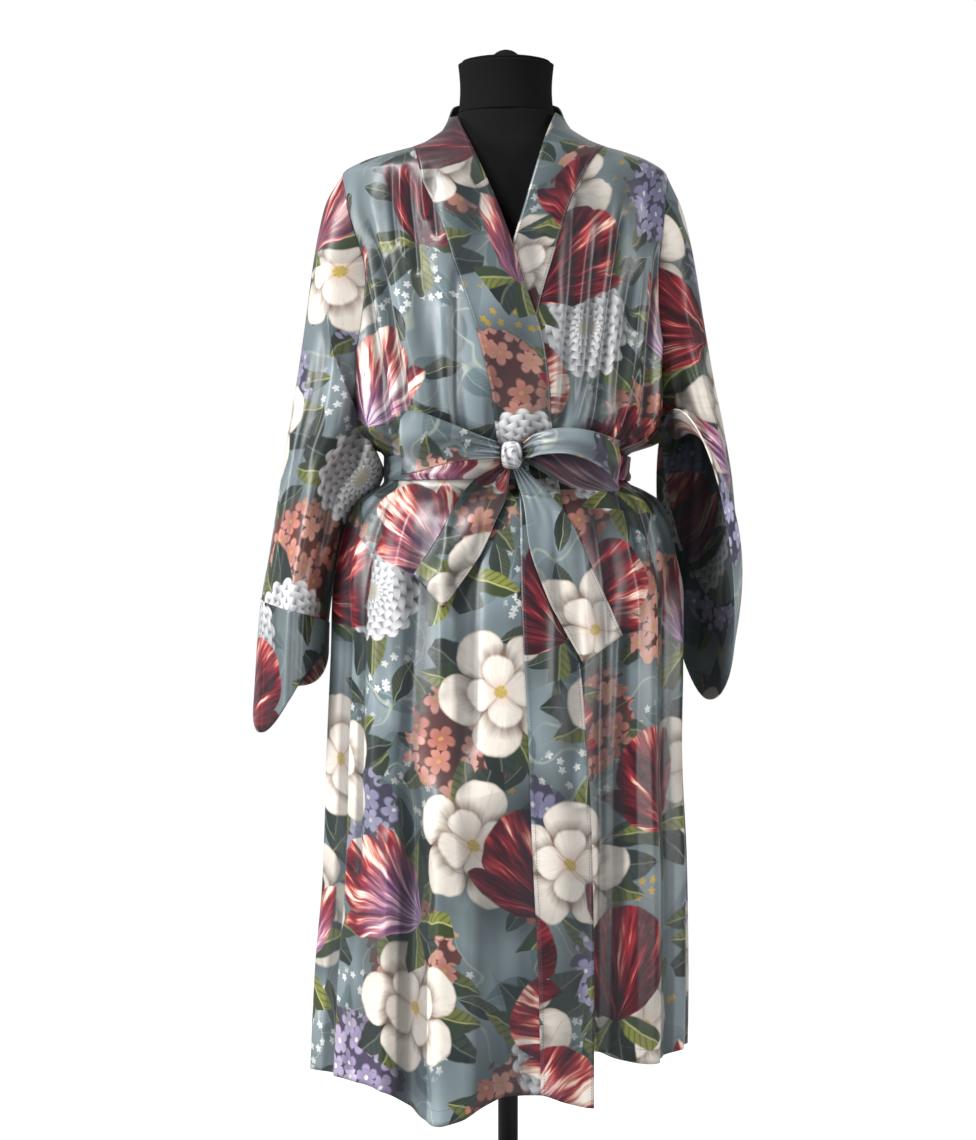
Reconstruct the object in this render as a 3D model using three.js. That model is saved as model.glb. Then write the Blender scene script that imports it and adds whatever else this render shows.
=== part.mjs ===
import * as THREE from 'three';

// A kimono robe on a limbless dress form, in millimetres.
// The origin is the centre of the foot's underside, +Z is up and the robe's front faces -Y.
// Left and right are the viewer's, so the left side is at -X.

// Cloth and making sizes
const clothThickness = 1.5;
const beltThickness = 2.2;
const seamGap = 0.36;
const lapDrop = 4;
const lapSlack = 5;
const beltSeat = 0.8;

// Heights on the figure
const hemOver = 310;
const hemUnder = 362;
const hemBack = 335;
const skirtTop = 930;
const beltBottom = 1000;
const beltTop = 1036;
const underarm = 1062;
const shoulderTip = 1355;
const neckPoint = 1386;

// Armhole
const armholeMiddle = (shoulderTip + underarm) / 2;
const armholeHalfHeight = (shoulderTip - underarm) / 2;
const armholeHalfDepth = 62;

// How finely the cloth is stepped
const skirtRows = 8;
const armholeRows = 8;
const frontColumns = 17;
const backColumns = 26;
const bandColumns = 2;
const sleeveRings = 9;
const cuffRings = 2;

// Sections of the robe round the figure: half widths to the left and right, depths to the
// front and back, and how square the section is (2 is an ellipse).
const bodySections = [
  { z: 280, left: 226, right: 203, front: 177, back: 170, square: 2.15 },
  { z: 450, left: 218, right: 206, front: 170, back: 166, square: 2.15 },
  { z: 560, left: 209, right: 205, front: 165, back: 162, square: 2.15 },
  { z: 700, left: 205, right: 200, front: 160, back: 158, square: 2.15 },
  { z: 800, left: 201, right: 201, front: 155, back: 154, square: 2.15 },
  { z: 870, left: 198, right: 201, front: 149, back: 148, square: 2.15 },
  { z: 923, left: 189, right: 190, front: 139, back: 137, square: 2.15 },
  { z: 958, left: 176, right: 178, front: 127, back: 124, square: 2.15 },
  { z: 980, left: 162, right: 164, front: 115, back: 111, square: 2.15 },
  { z: beltBottom, left: 137, right: 137, front: 101, back: 95, square: 2.15 },
  { z: beltTop, left: 137, right: 137, front: 101, back: 95, square: 2.15 },
  { z: 1048, left: 159, right: 161, front: 112, back: 107, square: 2.2 },
  { z: underarm, left: 172, right: 174, front: 120, back: 112, square: 2.25 },
  { z: 1100, left: 178, right: 181, front: 126, back: 112, square: 2.3 },
  { z: 1174, left: 180, right: 182, front: 130, back: 110, square: 2.3 },
  { z: 1221, left: 183, right: 184, front: 127, back: 110, square: 2.3 },
  { z: 1270, left: 188, right: 187, front: 119, back: 109, square: 2.3 },
  { z: 1318, left: 192, right: 188, front: 106, back: 104, square: 2.3 },
  { z: shoulderTip, left: 190, right: 182, front: 94, back: 97, square: 2.3 },
  { z: 1369, left: 168, right: 163, front: 88, back: 92, square: 2.3 },
  { z: 1378, left: 138, right: 139, front: 84, back: 88, square: 2.3 },
  { z: neckPoint, left: 108, right: 111, front: 79, back: 84, square: 2.3 },
  { z: 1395, left: 90, right: 91, front: 74, back: 79, square: 2.25 },
  { z: 1408, left: 74, right: 72, front: 68, back: 74, square: 2.2 },
  { z: 1424, left: 66.5, right: 62.5, front: 63, back: 69, square: 2.1 },
  { z: 1455, left: 62.5, right: 58, front: 59, back: 66, square: 2.1 },
];

// Folds of the body cloth. Angles run round the figure from the front middle, left negative;
// depth is outward, so a trough is negative. The last column says whether it runs out at its foot.
const bodyFolds = [
  { angleTop: -58, angleFoot: -37, zTop: 1325, zFoot: 1062, width: 7, depth: -15, fadeFoot: true },
  { angleTop: -45, angleFoot: -27, zTop: 1300, zFoot: 1050, width: 5, depth: 6, fadeFoot: true },
  { angleTop: -30, angleFoot: -26, zTop: 1345, zFoot: 1240, width: 3.5, depth: -4, fadeFoot: true },
  { angleTop: -38, angleFoot: -36, zTop: 1345, zFoot: 1220, width: 3.5, depth: -4, fadeFoot: true },
  { angleTop: 30, angleFoot: 24, zTop: 1330, zFoot: 1050, width: 6, depth: -7, fadeFoot: true },
  { angleTop: 46, angleFoot: 38, zTop: 1260, zFoot: 1050, width: 5, depth: -8, fadeFoot: true },
  { angleTop: 57, angleFoot: 47, zTop: 1290, zFoot: 1060, width: 5, depth: 8, fadeFoot: true },
  { angleTop: 160, angleFoot: 168, zTop: 1300, zFoot: 1045, width: 9, depth: -6, fadeFoot: true },
  { angleTop: -150, angleFoot: -158, zTop: 1280, zFoot: 1045, width: 8, depth: -7, fadeFoot: true },
  { angleTop: -128, angleFoot: -140, zTop: 1250, zFoot: 1050, width: 7, depth: 6, fadeFoot: true },
  { angleTop: 124, angleFoot: 138, zTop: 1240, zFoot: 1050, width: 7, depth: -7, fadeFoot: true },
  { angleTop: -13, angleFoot: -13, zTop: 960, zFoot: 640, width: 5, depth: -7, fadeFoot: true },
  { angleTop: -30, angleFoot: -34, zTop: 960, zFoot: 600, width: 7, depth: -12, fadeFoot: true },
  { angleTop: -44, angleFoot: -46, zTop: 950, zFoot: 300, width: 8, depth: 6, fadeFoot: false },
  { angleTop: -31, angleFoot: -29, zTop: 690, zFoot: 300, width: 6, depth: -16, fadeFoot: false },
  { angleTop: -21, angleFoot: -17, zTop: 700, zFoot: 300, width: 6, depth: 13, fadeFoot: false },
  { angleTop: -67, angleFoot: -66, zTop: 900, zFoot: 300, width: 8, depth: -8, fadeFoot: false },
  { angleTop: 6, angleFoot: 4, zTop: 720, zFoot: 300, width: 7, depth: -6, fadeFoot: false },
  { angleTop: 37, angleFoot: 33, zTop: 900, zFoot: 340, width: 5, depth: -8, fadeFoot: false },
  { angleTop: 49, angleFoot: 47, zTop: 930, zFoot: 340, width: 8, depth: 8, fadeFoot: false },
  { angleTop: 66, angleFoot: 64, zTop: 930, zFoot: 340, width: 7, depth: -9, fadeFoot: false },
  { angleTop: 108, angleFoot: 112, zTop: 940, zFoot: 330, width: 8, depth: -10, fadeFoot: false },
  { angleTop: 129, angleFoot: 131, zTop: 960, zFoot: 330, width: 9, depth: 9, fadeFoot: false },
  { angleTop: 149, angleFoot: 151, zTop: 960, zFoot: 330, width: 8, depth: -13, fadeFoot: false },
  { angleTop: 172, angleFoot: 170, zTop: 960, zFoot: 330, width: 8, depth: 10, fadeFoot: false },
  { angleTop: -166, angleFoot: -169, zTop: 950, zFoot: 330, width: 7, depth: -11, fadeFoot: false },
  { angleTop: -146, angleFoot: -147, zTop: 960, zFoot: 330, width: 9, depth: 11, fadeFoot: false },
  { angleTop: -124, angleFoot: -126, zTop: 950, zFoot: 330, width: 8, depth: -12, fadeFoot: false },
];

// Height of each hem by the turn round the figure from the front middle, in degrees.
const overHem = [
  { turn: -90, height: 335 },
  { turn: -60, height: 337 },
  { turn: -45, height: 336 },
  { turn: -36, height: 329 },
  { turn: -30, height: 314 },
  { turn: -24, height: 301 },
  { turn: -19, height: 297 },
  { turn: -12, height: 303 },
  { turn: -6, height: 318 },
  { turn: 0, height: 329 },
  { turn: 8, height: 330 },
  { turn: 16, height: 321 },
  { turn: 24, height: 314 },
  { turn: 34, height: 310 },
];
const underHem = [
  { turn: -40, height: 362 },
  { turn: 0, height: 366 },
  { turn: 22, height: 375 },
  { turn: 28, height: 373 },
  { turn: 36, height: 363 },
  { turn: 46, height: 357 },
  { turn: 58, height: 356 },
  { turn: 70, height: 360 },
  { turn: 90, height: 372 },
];
const backHem = [
  { turn: 80, height: 368 },
  { turn: 100, height: 350 },
  { turn: 120, height: 342 },
  { turn: 145, height: 335 },
  { turn: 165, height: 331 },
  { turn: 185, height: 334 },
  { turn: 205, height: 337 },
  { turn: 230, height: 333 },
  { turn: 250, height: 336 },
  { turn: 280, height: 335 },
];
const hemReach = 260;

// Neck band of the over front, a row for each height on its seam: where the seam lies across
// the front, and where its free edge lies.
const overBand = [
  { seamZ: 280, seamX: 35, freeX: 94, freeZ: 280 },
  { seamZ: 450, seamX: 32, freeX: 94, freeZ: 450 },
  { seamZ: 591, seamX: 26, freeX: 92, freeZ: 591 },
  { seamZ: 735, seamX: 20, freeX: 83, freeZ: 735 },
  { seamZ: 860, seamX: 14, freeX: 73, freeZ: 860 },
  { seamZ: 990, seamX: 11, freeX: 57, freeZ: 990 },
  { seamZ: 1048, seamX: -13, freeX: 48, freeZ: 1047 },
  { seamZ: 1100, seamX: -19, freeX: 46, freeZ: 1094 },
  { seamZ: 1173, seamX: -37, freeX: 38, freeZ: 1155 },
  { seamZ: 1232, seamX: -57, freeX: 19, freeZ: 1216 },
  { seamZ: 1271, seamX: -68, freeX: 5, freeZ: 1262 },
  { seamZ: 1308, seamX: -83, freeX: -10, freeZ: 1305 },
  { seamZ: 1343, seamX: -97, freeX: -28, freeZ: 1348 },
  { seamZ: 1368, seamX: -103, freeX: -43, freeZ: 1383 },
  { seamZ: neckPoint, seamX: -107.5, freeX: -58, freeZ: 1418 },
];

// Neck band of the under front, in the same columns.
const underBand = [
  { seamZ: 280, seamX: -35, freeX: -94, freeZ: 280 },
  { seamZ: 591, seamX: -26, freeX: -90, freeZ: 591 },
  { seamZ: 860, seamX: -14, freeX: -74, freeZ: 860 },
  { seamZ: 990, seamX: -9, freeX: -62, freeZ: 990 },
  { seamZ: 1048, seamX: 4, freeX: -56, freeZ: 1047 },
  { seamZ: 1124, seamX: 20, freeX: -38, freeZ: 1110 },
  { seamZ: 1201, seamX: 35, freeX: -19, freeZ: 1187 },
  { seamZ: 1264, seamX: 53, freeX: 1, freeZ: 1255 },
  { seamZ: 1323, seamX: 73, freeX: 21, freeZ: 1322 },
  { seamZ: 1353, seamX: 88, freeX: 34, freeZ: 1367 },
  { seamZ: 1372, seamX: 100, freeX: 43, freeZ: 1396 },
  { seamZ: neckPoint, seamX: 110.5, freeX: 53, freeZ: 1422 },
];

// Neck band behind the shoulder: the turn round the figure from the front middle, and the
// height of the free edge there.
const napeBand = [
  { turn: 90, freeTurn: 84, freeZ: 1420 },
  { turn: 112, freeTurn: 108, freeZ: 1438 },
  { turn: 140, freeTurn: 138, freeZ: 1446 },
  { turn: 180, freeTurn: 180, freeZ: 1449 },
];

// Sleeves, a row for each ring from armhole to hem: the outer point over the arm, the inner
// point under it, half depth front to back, how far the front layer is carried outward, how far
// the hem is turned up and down, how far its front drops, and how far the under point leans forward.
const leftSleeveRings = [
  { along: 0, outX: -190, outZ: 1355, inX: -172, inZ: 1062, depth: 62, spread: 0, turnUp: 0, drop: 0, lean: 0 },
  { along: 0.1, outX: -209, outZ: 1323, inX: -181, inZ: 1055, depth: 63, spread: 0, turnUp: 0, drop: 0, lean: 0 },
  { along: 0.2, outX: -222, outZ: 1265, inX: -171, inZ: 1038, depth: 64, spread: 0, turnUp: 0, drop: 0, lean: 0 },
  { along: 0.31, outX: -231, outZ: 1200, inX: -146, inZ: 1017, depth: 66, spread: 0, turnUp: 0, drop: 0, lean: 0 },
  { along: 0.42, outX: -241, outZ: 1130, inX: -150, inZ: 997, depth: 67, spread: 0, turnUp: 0, drop: 0, lean: 0 },
  { along: 0.53, outX: -252, outZ: 1063, inX: -177, inZ: 970, depth: 68, spread: 0, turnUp: 0, drop: 0, lean: 0 },
  { along: 0.64, outX: -264, outZ: 985, inX: -188, inZ: 936, depth: 69, spread: 0, turnUp: 0, drop: 0, lean: 0 },
  { along: 0.75, outX: -275, outZ: 915, inX: -200, inZ: 888, depth: 70, spread: 0, turnUp: 0, drop: 0, lean: 0 },
  { along: 0.82, outX: -283, outZ: 870, inX: -206, inZ: 842, depth: 71, spread: 0, turnUp: 2, drop: 0, lean: 0 },
  { along: 1, outX: -292, outZ: 746, inX: -207, inZ: 815, depth: 72, spread: 0, turnUp: 17, drop: 30, lean: 0 },
];
const rightSleeveRings = [
  { along: 0, outX: 182, outZ: 1355, inX: 174, inZ: 1062, depth: 62, spread: 0, turnUp: 0, drop: 0, lean: 0 },
  { along: 0.1, outX: 201, outZ: 1312, inX: 184, inZ: 1060, depth: 63, spread: 0, turnUp: 0, drop: 0, lean: 9 },
  { along: 0.2, outX: 212, outZ: 1262, inX: 188, inZ: 1054, depth: 63, spread: 3, turnUp: 0, drop: 0, lean: 18 },
  { along: 0.31, outX: 220, outZ: 1202, inX: 191, inZ: 1052, depth: 62, spread: 7, turnUp: 0, drop: 0, lean: 28 },
  { along: 0.42, outX: 229, outZ: 1131, inX: 191, inZ: 1051, depth: 60, spread: 12, turnUp: 0, drop: 0, lean: 37 },
  { along: 0.53, outX: 239, outZ: 1060, inX: 190, inZ: 1056, depth: 60, spread: 18, turnUp: 0, drop: 0, lean: 45 },
  { along: 0.64, outX: 245, outZ: 988, inX: 189, inZ: 1062, depth: 62, spread: 24, turnUp: 0, drop: 0, lean: 51 },
  { along: 0.75, outX: 246, outZ: 910, inX: 188, inZ: 1069, depth: 66, spread: 30, turnUp: 0, drop: 0, lean: 57 },
  { along: 0.82, outX: 247, outZ: 864, inX: 187, inZ: 1073, depth: 70, spread: 34, turnUp: 0, drop: 0, lean: 61 },
  { along: 1, outX: 231, outZ: 753, inX: 186, inZ: 1083, depth: 76, spread: 39, turnUp: 0, drop: 0, lean: 70 },
];
const cuffSeam = 0.82;
const backSpread = 0.72;
const backDrop = 0.5;

// Long folds of the sleeves: the place round the ring (0 over the arm, 90 in front, -90 behind).
const leftSleeveFolds = [
  { round: 118, start: 0.12, end: 0.8, width: 16, depth: -11 },
  { round: 62, start: 0.2, end: 1.2, width: 15, depth: -5 },
  { round: 90, start: 0.3, end: 1.2, width: 13, depth: 5 },
  { round: -70, start: 0.15, end: 1.2, width: 18, depth: -7 },
  { round: -125, start: 0.1, end: 0.9, width: 16, depth: -9 },
];
const rightSleeveFolds = [
  { round: 122, start: 0.06, end: 0.7, width: 15, depth: -10 },
  { round: 70, start: 0.1, end: 0.9, width: 15, depth: -5 },
  { round: -60, start: 0.2, end: 1.2, width: 16, depth: -6 },
  { round: -115, start: 0.1, end: 0.9, width: 18, depth: -9 },
];

// Bow. Each loop is a ribbon: the middle line, half its width, and how far its top edge tips back.
const leftLoop = [
  { x: -10.5, y: -121, z: 1034, half: 9, tip: 0 },
  { x: -38, y: -134, z: 1038, half: 15, tip: 8 },
  { x: -72, y: -142, z: 1042, half: 25, tip: 12 },
  { x: -104, y: -142, z: 1043, half: 35, tip: 10 },
  { x: -120, y: -134, z: 1041, half: 37, tip: 0 },
  { x: -104, y: -126, z: 1041, half: 35, tip: -6 },
  { x: -70, y: -127, z: 1038, half: 24, tip: -5 },
  { x: -38, y: -124, z: 1035, half: 14, tip: -2 },
  { x: -10.5, y: -115.5, z: 1033, half: 8, tip: 0 },
];
const rightLoop = [
  { x: 16.5, y: -121, z: 1034, half: 9, tip: 0 },
  { x: 34, y: -136, z: 1041, half: 17, tip: 40 },
  { x: 66, y: -147, z: 1043, half: 25, tip: 52 },
  { x: 100, y: -144, z: 1034, half: 28, tip: 45 },
  { x: 122, y: -134, z: 1018, half: 29, tip: 20 },
  { x: 106, y: -125, z: 1018, half: 29, tip: 0 },
  { x: 72, y: -125, z: 1019, half: 26, tip: -4 },
  { x: 38, y: -123, z: 1026, half: 16, tip: -3 },
  { x: 16.5, y: -115.5, z: 1032, half: 8, tip: 0 },
];

// Tails of the bow, a row for each station from the knot: the two edges seen from the front.
const leftTail = [
  { edgeX: -9, edgeZ: 1016.4, otherX: 1, otherZ: 1012.6 },
  { edgeX: -38, edgeZ: 1002, otherX: -1, otherZ: 988 },
  { edgeX: -60, edgeZ: 973, otherX: -14, otherZ: 957 },
  { edgeX: -79, edgeZ: 938, otherX: -30, otherZ: 922 },
  { edgeX: -106, edgeZ: 897, otherX: -72, otherZ: 860 },
];
const rightTail = [
  { edgeX: 5, edgeZ: 1012.6, otherX: 14, otherZ: 1016.4 },
  { edgeX: 16, edgeZ: 976, otherX: 42, otherZ: 990 },
  { edgeX: 22, edgeZ: 930, otherX: 67, otherZ: 958 },
  { edgeX: 42, edgeZ: 873, otherX: 95, otherZ: 898 },
  { edgeX: 81, edgeZ: 800, otherX: 126, otherZ: 830 },
];
const tailThickness = 2;
const tailSeat = 3.4;
const loopThickness = 1.6;
const knot = { x: 3, y: -117.9, z: 1029, halfWidth: 12.6, halfDepth: 13, halfHeight: 15.5 };

// Dress form and stand
const formSections = [
  { z: 800, left: 148, right: 146, front: 106, back: 108 },
  { z: 812, left: 153, right: 151, front: 111, back: 113 },
  { z: 870, left: 155, right: 153, front: 114, back: 118 },
  { z: 930, left: 138, right: 136, front: 102, back: 106 },
  { z: 1010, left: 117, right: 115, front: 84, back: 80 },
  { z: 1080, left: 132, right: 130, front: 94, back: 85 },
  { z: 1150, left: 147, right: 145, front: 105, back: 92 },
  { z: 1210, left: 154, right: 152, front: 108, back: 95 },
  { z: 1270, left: 160, right: 158, front: 98, back: 95 },
  { z: 1320, left: 168, right: 163, front: 84, back: 88 },
  { z: 1350, left: 168, right: 161, front: 74, back: 80 },
  { z: 1362, left: 160, right: 154, front: 70, back: 76 },
  { z: 1374.5, left: 138, right: 137, front: 67, back: 73 },
  { z: 1383.5, left: 106.6, right: 109.4, front: 65, back: 70 },
  { z: 1394, left: 84, right: 84, front: 61, back: 66 },
  { z: 1406, left: 69, right: 66, front: 58, back: 62 },
  { z: 1424.7, left: 58, right: 54, front: 54, back: 57 },
];
const formSquare = 2.1;
const neckCentre = -2.3;
const neckRadius = 55;
const neckBottom = 1425;
const neckTop = 1482;
const poleRadius = 11.5;
const footRadius = 190;
const footHeight = 34;

// Helpers

const lerp = THREE.MathUtils.lerp;
const clamp = THREE.MathUtils.clamp;
const toRadians = THREE.MathUtils.degToRad;

function smooth(value, low, high) {
  return THREE.MathUtils.smoothstep(value, low, high);
}

// A smooth curve through one column of a table that never overshoots its rows.
function column(rows, at, name) {
  const knots = rows.map((row) => row[at]);
  const values = rows.map((row) => row[name]);
  const slopes = [];
  for (let i = 0; i < rows.length - 1; i += 1) {
    slopes.push((values[i + 1] - values[i]) / (knots[i + 1] - knots[i]));
  }
  const tangents = values.map((_, i) => {
    if (i === 0) return slopes[0];
    if (i === rows.length - 1) return slopes[i - 1];
    const before = slopes[i - 1];
    const after = slopes[i];
    return before * after <= 0 ? 0 : (2 * before * after) / (before + after);
  });
  return (place) => {
    const inside = clamp(place, knots[0], knots[knots.length - 1]);
    let i = 0;
    while (i < knots.length - 2 && inside > knots[i + 1]) i += 1;
    const step = knots[i + 1] - knots[i];
    const t = (inside - knots[i]) / step;
    const rise = t * t * (3 - 2 * t);
    const leave = t * (1 - t) * (1 - t) * step;
    const arrive = t * t * (t - 1) * step;
    return values[i] * (1 - rise) + values[i + 1] * rise + tangents[i] * leave + tangents[i + 1] * arrive;
  };
}

function columns(rows, at) {
  const curves = {};
  for (const name of Object.keys(rows[0])) {
    if (name !== at) curves[name] = column(rows, at, name);
  }
  return curves;
}

function signedPower(value, power) {
  return Math.sign(value) * Math.abs(value) ** power;
}

// Signed volume of an indexed triangle mesh, used to turn every mesh's faces outward.
function signedVolume(points, faces) {
  let sum = 0;
  for (const [a, b, c] of faces) {
    sum += points[a].dot(new THREE.Vector3().crossVectors(points[b], points[c]));
  }
  return sum / 6;
}

function meshFrom(name, points, faces, material) {
  const turned = signedVolume(points, faces) < 0 ? faces.map(([a, b, c]) => [a, c, b]) : faces;
  const geometry = new THREE.BufferGeometry();
  geometry.setAttribute('position', new THREE.Float32BufferAttribute(points.flatMap((p) => p.toArray()), 3));
  geometry.setIndex(turned.flat());
  geometry.computeVertexNormals();
  const mesh = new THREE.Mesh(geometry, material);
  mesh.name = name;
  return mesh;
}

// The direction out of a surface, from points a short step to each side.
function surfaceNormal(surface, u, v, outSign) {
  const step = 1e-3;
  const alongU = surface(u + step, v).sub(surface(u - step, v));
  const alongV = surface(u, v + step).sub(surface(u, v - step));
  return alongU.cross(alongV).normalize().multiplyScalar(outSign);
}

// A wall of cloth: the outer grid is the surface, the inner one lies a thickness behind it.
// closed joins the last column to the first, as on a tube.
function clothWall(name, cut, material) {
  const { surface, uList, vList, thickness = clothThickness, outSign = 1, closed = false } = cut;
  const across = uList.length;
  const along = vList.length;
  const outer = [];
  const inner = [];
  for (const v of vList) {
    for (const u of uList) {
      const point = surface(u, v);
      const given = cut.normalAt ? cut.normalAt(u, v) : null;
      const normal = given ?? surfaceNormal(surface, u, v, outSign);
      outer.push(point);
      inner.push(point.clone().addScaledVector(normal, -thickness));
    }
  }
  const points = [...outer, ...inner];
  const behind = outer.length;
  const faces = [];
  const quad = (a, b, c, d) => faces.push([a, b, c], [a, c, d]);
  const cells = closed ? across : across - 1;
  for (let j = 0; j < along - 1; j += 1) {
    for (let i = 0; i < cells; i += 1) {
      const next = (i + 1) % across;
      const a = j * across + i;
      const b = j * across + next;
      const c = (j + 1) * across + next;
      const d = (j + 1) * across + i;
      quad(a, b, c, d);
      quad(behind + a, behind + d, behind + c, behind + b);
    }
  }
  for (let i = 0; i < cells; i += 1) {
    const next = (i + 1) % across;
    const top = (along - 1) * across;
    quad(i, behind + i, behind + next, next);
    quad(top + i, top + next, behind + top + next, behind + top + i);
  }
  if (!closed) {
    for (let j = 0; j < along - 1; j += 1) {
      const left = j * across;
      const right = left + across - 1;
      quad(left, left + across, behind + left + across, behind + left);
      quad(right, behind + right, behind + right + across, right + across);
    }
  }
  return meshFrom(name, points, faces, material);
}

// A solid body skinned through closed rings, with a flat end at each end.
function skinnedBody(name, rings, material) {
  const around = rings[0].length;
  const points = rings.flat();
  const faces = [];
  for (let j = 0; j < rings.length - 1; j += 1) {
    for (let i = 0; i < around; i += 1) {
      const next = (i + 1) % around;
      const a = j * around + i;
      const b = j * around + next;
      faces.push([a, b, b + around], [a, b + around, a + around]);
    }
  }
  const last = (rings.length - 1) * around;
  for (let i = 1; i < around - 1; i += 1) {
    faces.push([0, i + 1, i], [last, last + i, last + i + 1]);
  }
  return meshFrom(name, points, faces, material);
}

function evenly(count, low, high) {
  return Array.from({ length: count + 1 }, (_, i) => lerp(low, high, i / count));
}

// The robe's body surface

const section = columns(bodySections, 'z');

function halfWidth(x, z) {
  return x < 0 ? section.left(z) : section.right(z);
}

function foldOffset(angle, z) {
  const degrees = THREE.MathUtils.radToDeg(angle);
  const turned = THREE.MathUtils.euclideanModulo(degrees + 180, 360) - 180;
  const heldByBelt = smooth(Math.abs(z - (beltTop + beltBottom) / 2), 22, 60);
  let sum = 0;
  for (const fold of bodyFolds) {
    const down = clamp((fold.zTop - z) / (fold.zTop - fold.zFoot), 0, 1);
    const middle = lerp(fold.angleTop, fold.angleFoot, down);
    const away = THREE.MathUtils.euclideanModulo(turned - middle + 180, 360) - 180;
    const fadeTop = smooth(fold.zTop - z, 0, 90);
    const fadeFoot = fold.fadeFoot ? smooth(z - fold.zFoot, 0, 60) : 1;
    sum += fold.depth * Math.exp(-((away / fold.width) ** 2)) * fadeTop * fadeFoot;
  }
  return sum * heldByBelt;
}

function bodyPoint(angle, z, drop = 0) {
  const power = 2 / section.square(z);
  const wide = halfWidth(Math.sin(angle), z);
  const deep = Math.cos(angle) > 0 ? section.front(z) : section.back(z);
  const x = wide * signedPower(Math.sin(angle), power);
  const y = -deep * signedPower(Math.cos(angle), power);
  const out = new THREE.Vector3(x / wide ** 2, y / deep ** 2, 0).normalize();
  return new THREE.Vector3(x, y, z).addScaledVector(out, foldOffset(angle, z) - drop);
}

function angleAtX(x, z) {
  const share = clamp(Math.abs(x) / halfWidth(x, z), 0, 1);
  return Math.sign(x) * Math.asin(share ** (section.square(z) / 2));
}

// The angle, counted from the side, at which the surface lies a given distance from the middle plane.
function angleFromSide(distance, deep, z) {
  return Math.asin((distance / deep) ** (section.square(z) / 2));
}

function armholeDepth(z) {
  const share = clamp((z - armholeMiddle) / armholeHalfHeight, -1, 1);
  return Math.max(armholeHalfDepth * Math.sqrt(1 - share * share), seamGap / 2);
}

// The panel's outer edge: the side seam, the armhole and the shoulder seam, one above another.
function sideEdge(z, front) {
  const deep = front ? section.front(z) : section.back(z);
  const fromSide = angleFromSide(armholeDepth(z), deep, z);
  return front ? Math.PI / 2 - fromSide : Math.PI / 2 + fromSide;
}

const armholeHeights = evenly(armholeRows, 0, Math.PI).map(
  (turn) => armholeMiddle - armholeHalfHeight * Math.cos(turn),
);
const waistHeights = [948, 966, 982, beltBottom, beltTop, 1048];
const shoulderHeights = [1363, 1371, 1379, neckPoint - 0.4];
const upperHeights = [...waistHeights, ...armholeHeights, ...shoulderHeights];

// Row numbers 0 to skirtRows climb the skirt from its hem; the rest are set heights.
function rowHeight(row, hem) {
  if (row <= skirtRows) return lerp(hem, skirtTop, row / skirtRows);
  const place = row - skirtRows;
  const below = Math.floor(place);
  const list = [skirtTop, ...upperHeights];
  const low = list[clamp(below, 0, list.length - 1)];
  const high = list[clamp(below + 1, 0, list.length - 1)];
  return lerp(low, high, place - below);
}
const lastRow = skirtRows + upperHeights.length;
const panelRows = evenly(lastRow, 0, lastRow);

// A hem's waves are carried up the skirt and die out above it.
function waved(z, angle, hem, curve) {
  const turn = THREE.MathUtils.radToDeg(angle);
  return z + (curve(turn) - hem) * (1 - smooth(z, hem, hem + hemReach));
}

const overHemCurve = column(overHem, 'turn', 'height');
const underHemCurve = column(underHem, 'turn', 'height');
const backHemCurve = column(backHem, 'turn', 'height');
const overSeam = columns(overBand, 'seamZ');
const underSeam = columns(underBand, 'seamZ');
const overFreeX = column(overBand, 'freeZ', 'freeX');
const nape = columns(napeBand, 'turn');

// The under layer sinks where the over front lies on it, and hangs further in behind it.
function lapSink(x, z) {
  const edge = overFreeX(z);
  return lapDrop * (1 - smooth(x, edge + 12, edge + 42)) + lapSlack * (1 - smooth(x, edge - 60, edge));
}

function frontPanel(name, side, material) {
  const over = side < 0;
  const hem = over ? hemOver : hemUnder;
  const hemCurve = over ? overHemCurve : underHemCurve;
  const seam = over ? overSeam : underSeam;
  const surface = (u, row) => {
    const level = rowHeight(row, hem);
    const outerAngle = side * sideEdge(level, true);
    const seamAngle = angleAtX(seam.seamX(level) + side * seamGap / 2, level);
    const angle = lerp(outerAngle, seamAngle, u);
    const z = waved(level, angle, hem, hemCurve);
    const x = bodyPoint(angle, z).x;
    return bodyPoint(angle, z, over ? 0 : lapSink(x, z));
  };
  const normalAt = (u, row) => {
    const point = surface(u, row);
    return bodyNormal(point, point.z, over ? null : lapSink);
  };
  return clothWall(name, { surface, normalAt, uList: evenly(frontColumns, 0, 1), vList: panelRows }, material);
}

// The outward direction of the body surface at a point on it.
function bodyNormal(point, z, sink) {
  const step = 0.4;
  const angle = Math.atan2(
    signedPower(point.x / halfWidth(point.x, z), section.square(z) / 2),
    signedPower(-point.y / (point.y < 0 ? section.front(z) : section.back(z)), section.square(z) / 2),
  );
  const at = (turn, height) => bodyPoint(turn, height, sink ? sink(bodyPoint(turn, height).x, height) : 0);
  const alongTurn = at(angle + step / 100, z).sub(at(angle - step / 100, z));
  const alongHeight = at(angle, z + step).sub(at(angle, z - step));
  return alongTurn.cross(alongHeight).normalize();
}

function backPanel(material) {
  const surface = (u, row) => {
    const level = rowHeight(row, hemBack);
    const edge = sideEdge(level, false);
    const angle = lerp(edge, 2 * Math.PI - edge, u);
    return bodyPoint(angle, waved(level, angle, hemBack, backHemCurve));
  };
  const normalAt = (u, row) => {
    const point = surface(u, row);
    return bodyNormal(point, point.z, null);
  };
  return clothWall('back_panel', { surface, normalAt, uList: evenly(backColumns, 0, 1), vList: panelRows }, material);
}

// Neck bands

// Places along a band: its front rows match the panel's rows, and its nape rows the back's columns.
const napeRows = backColumns / 2;
const bandRows = evenly(lastRow + napeRows, 0, lastRow + napeRows);

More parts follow.
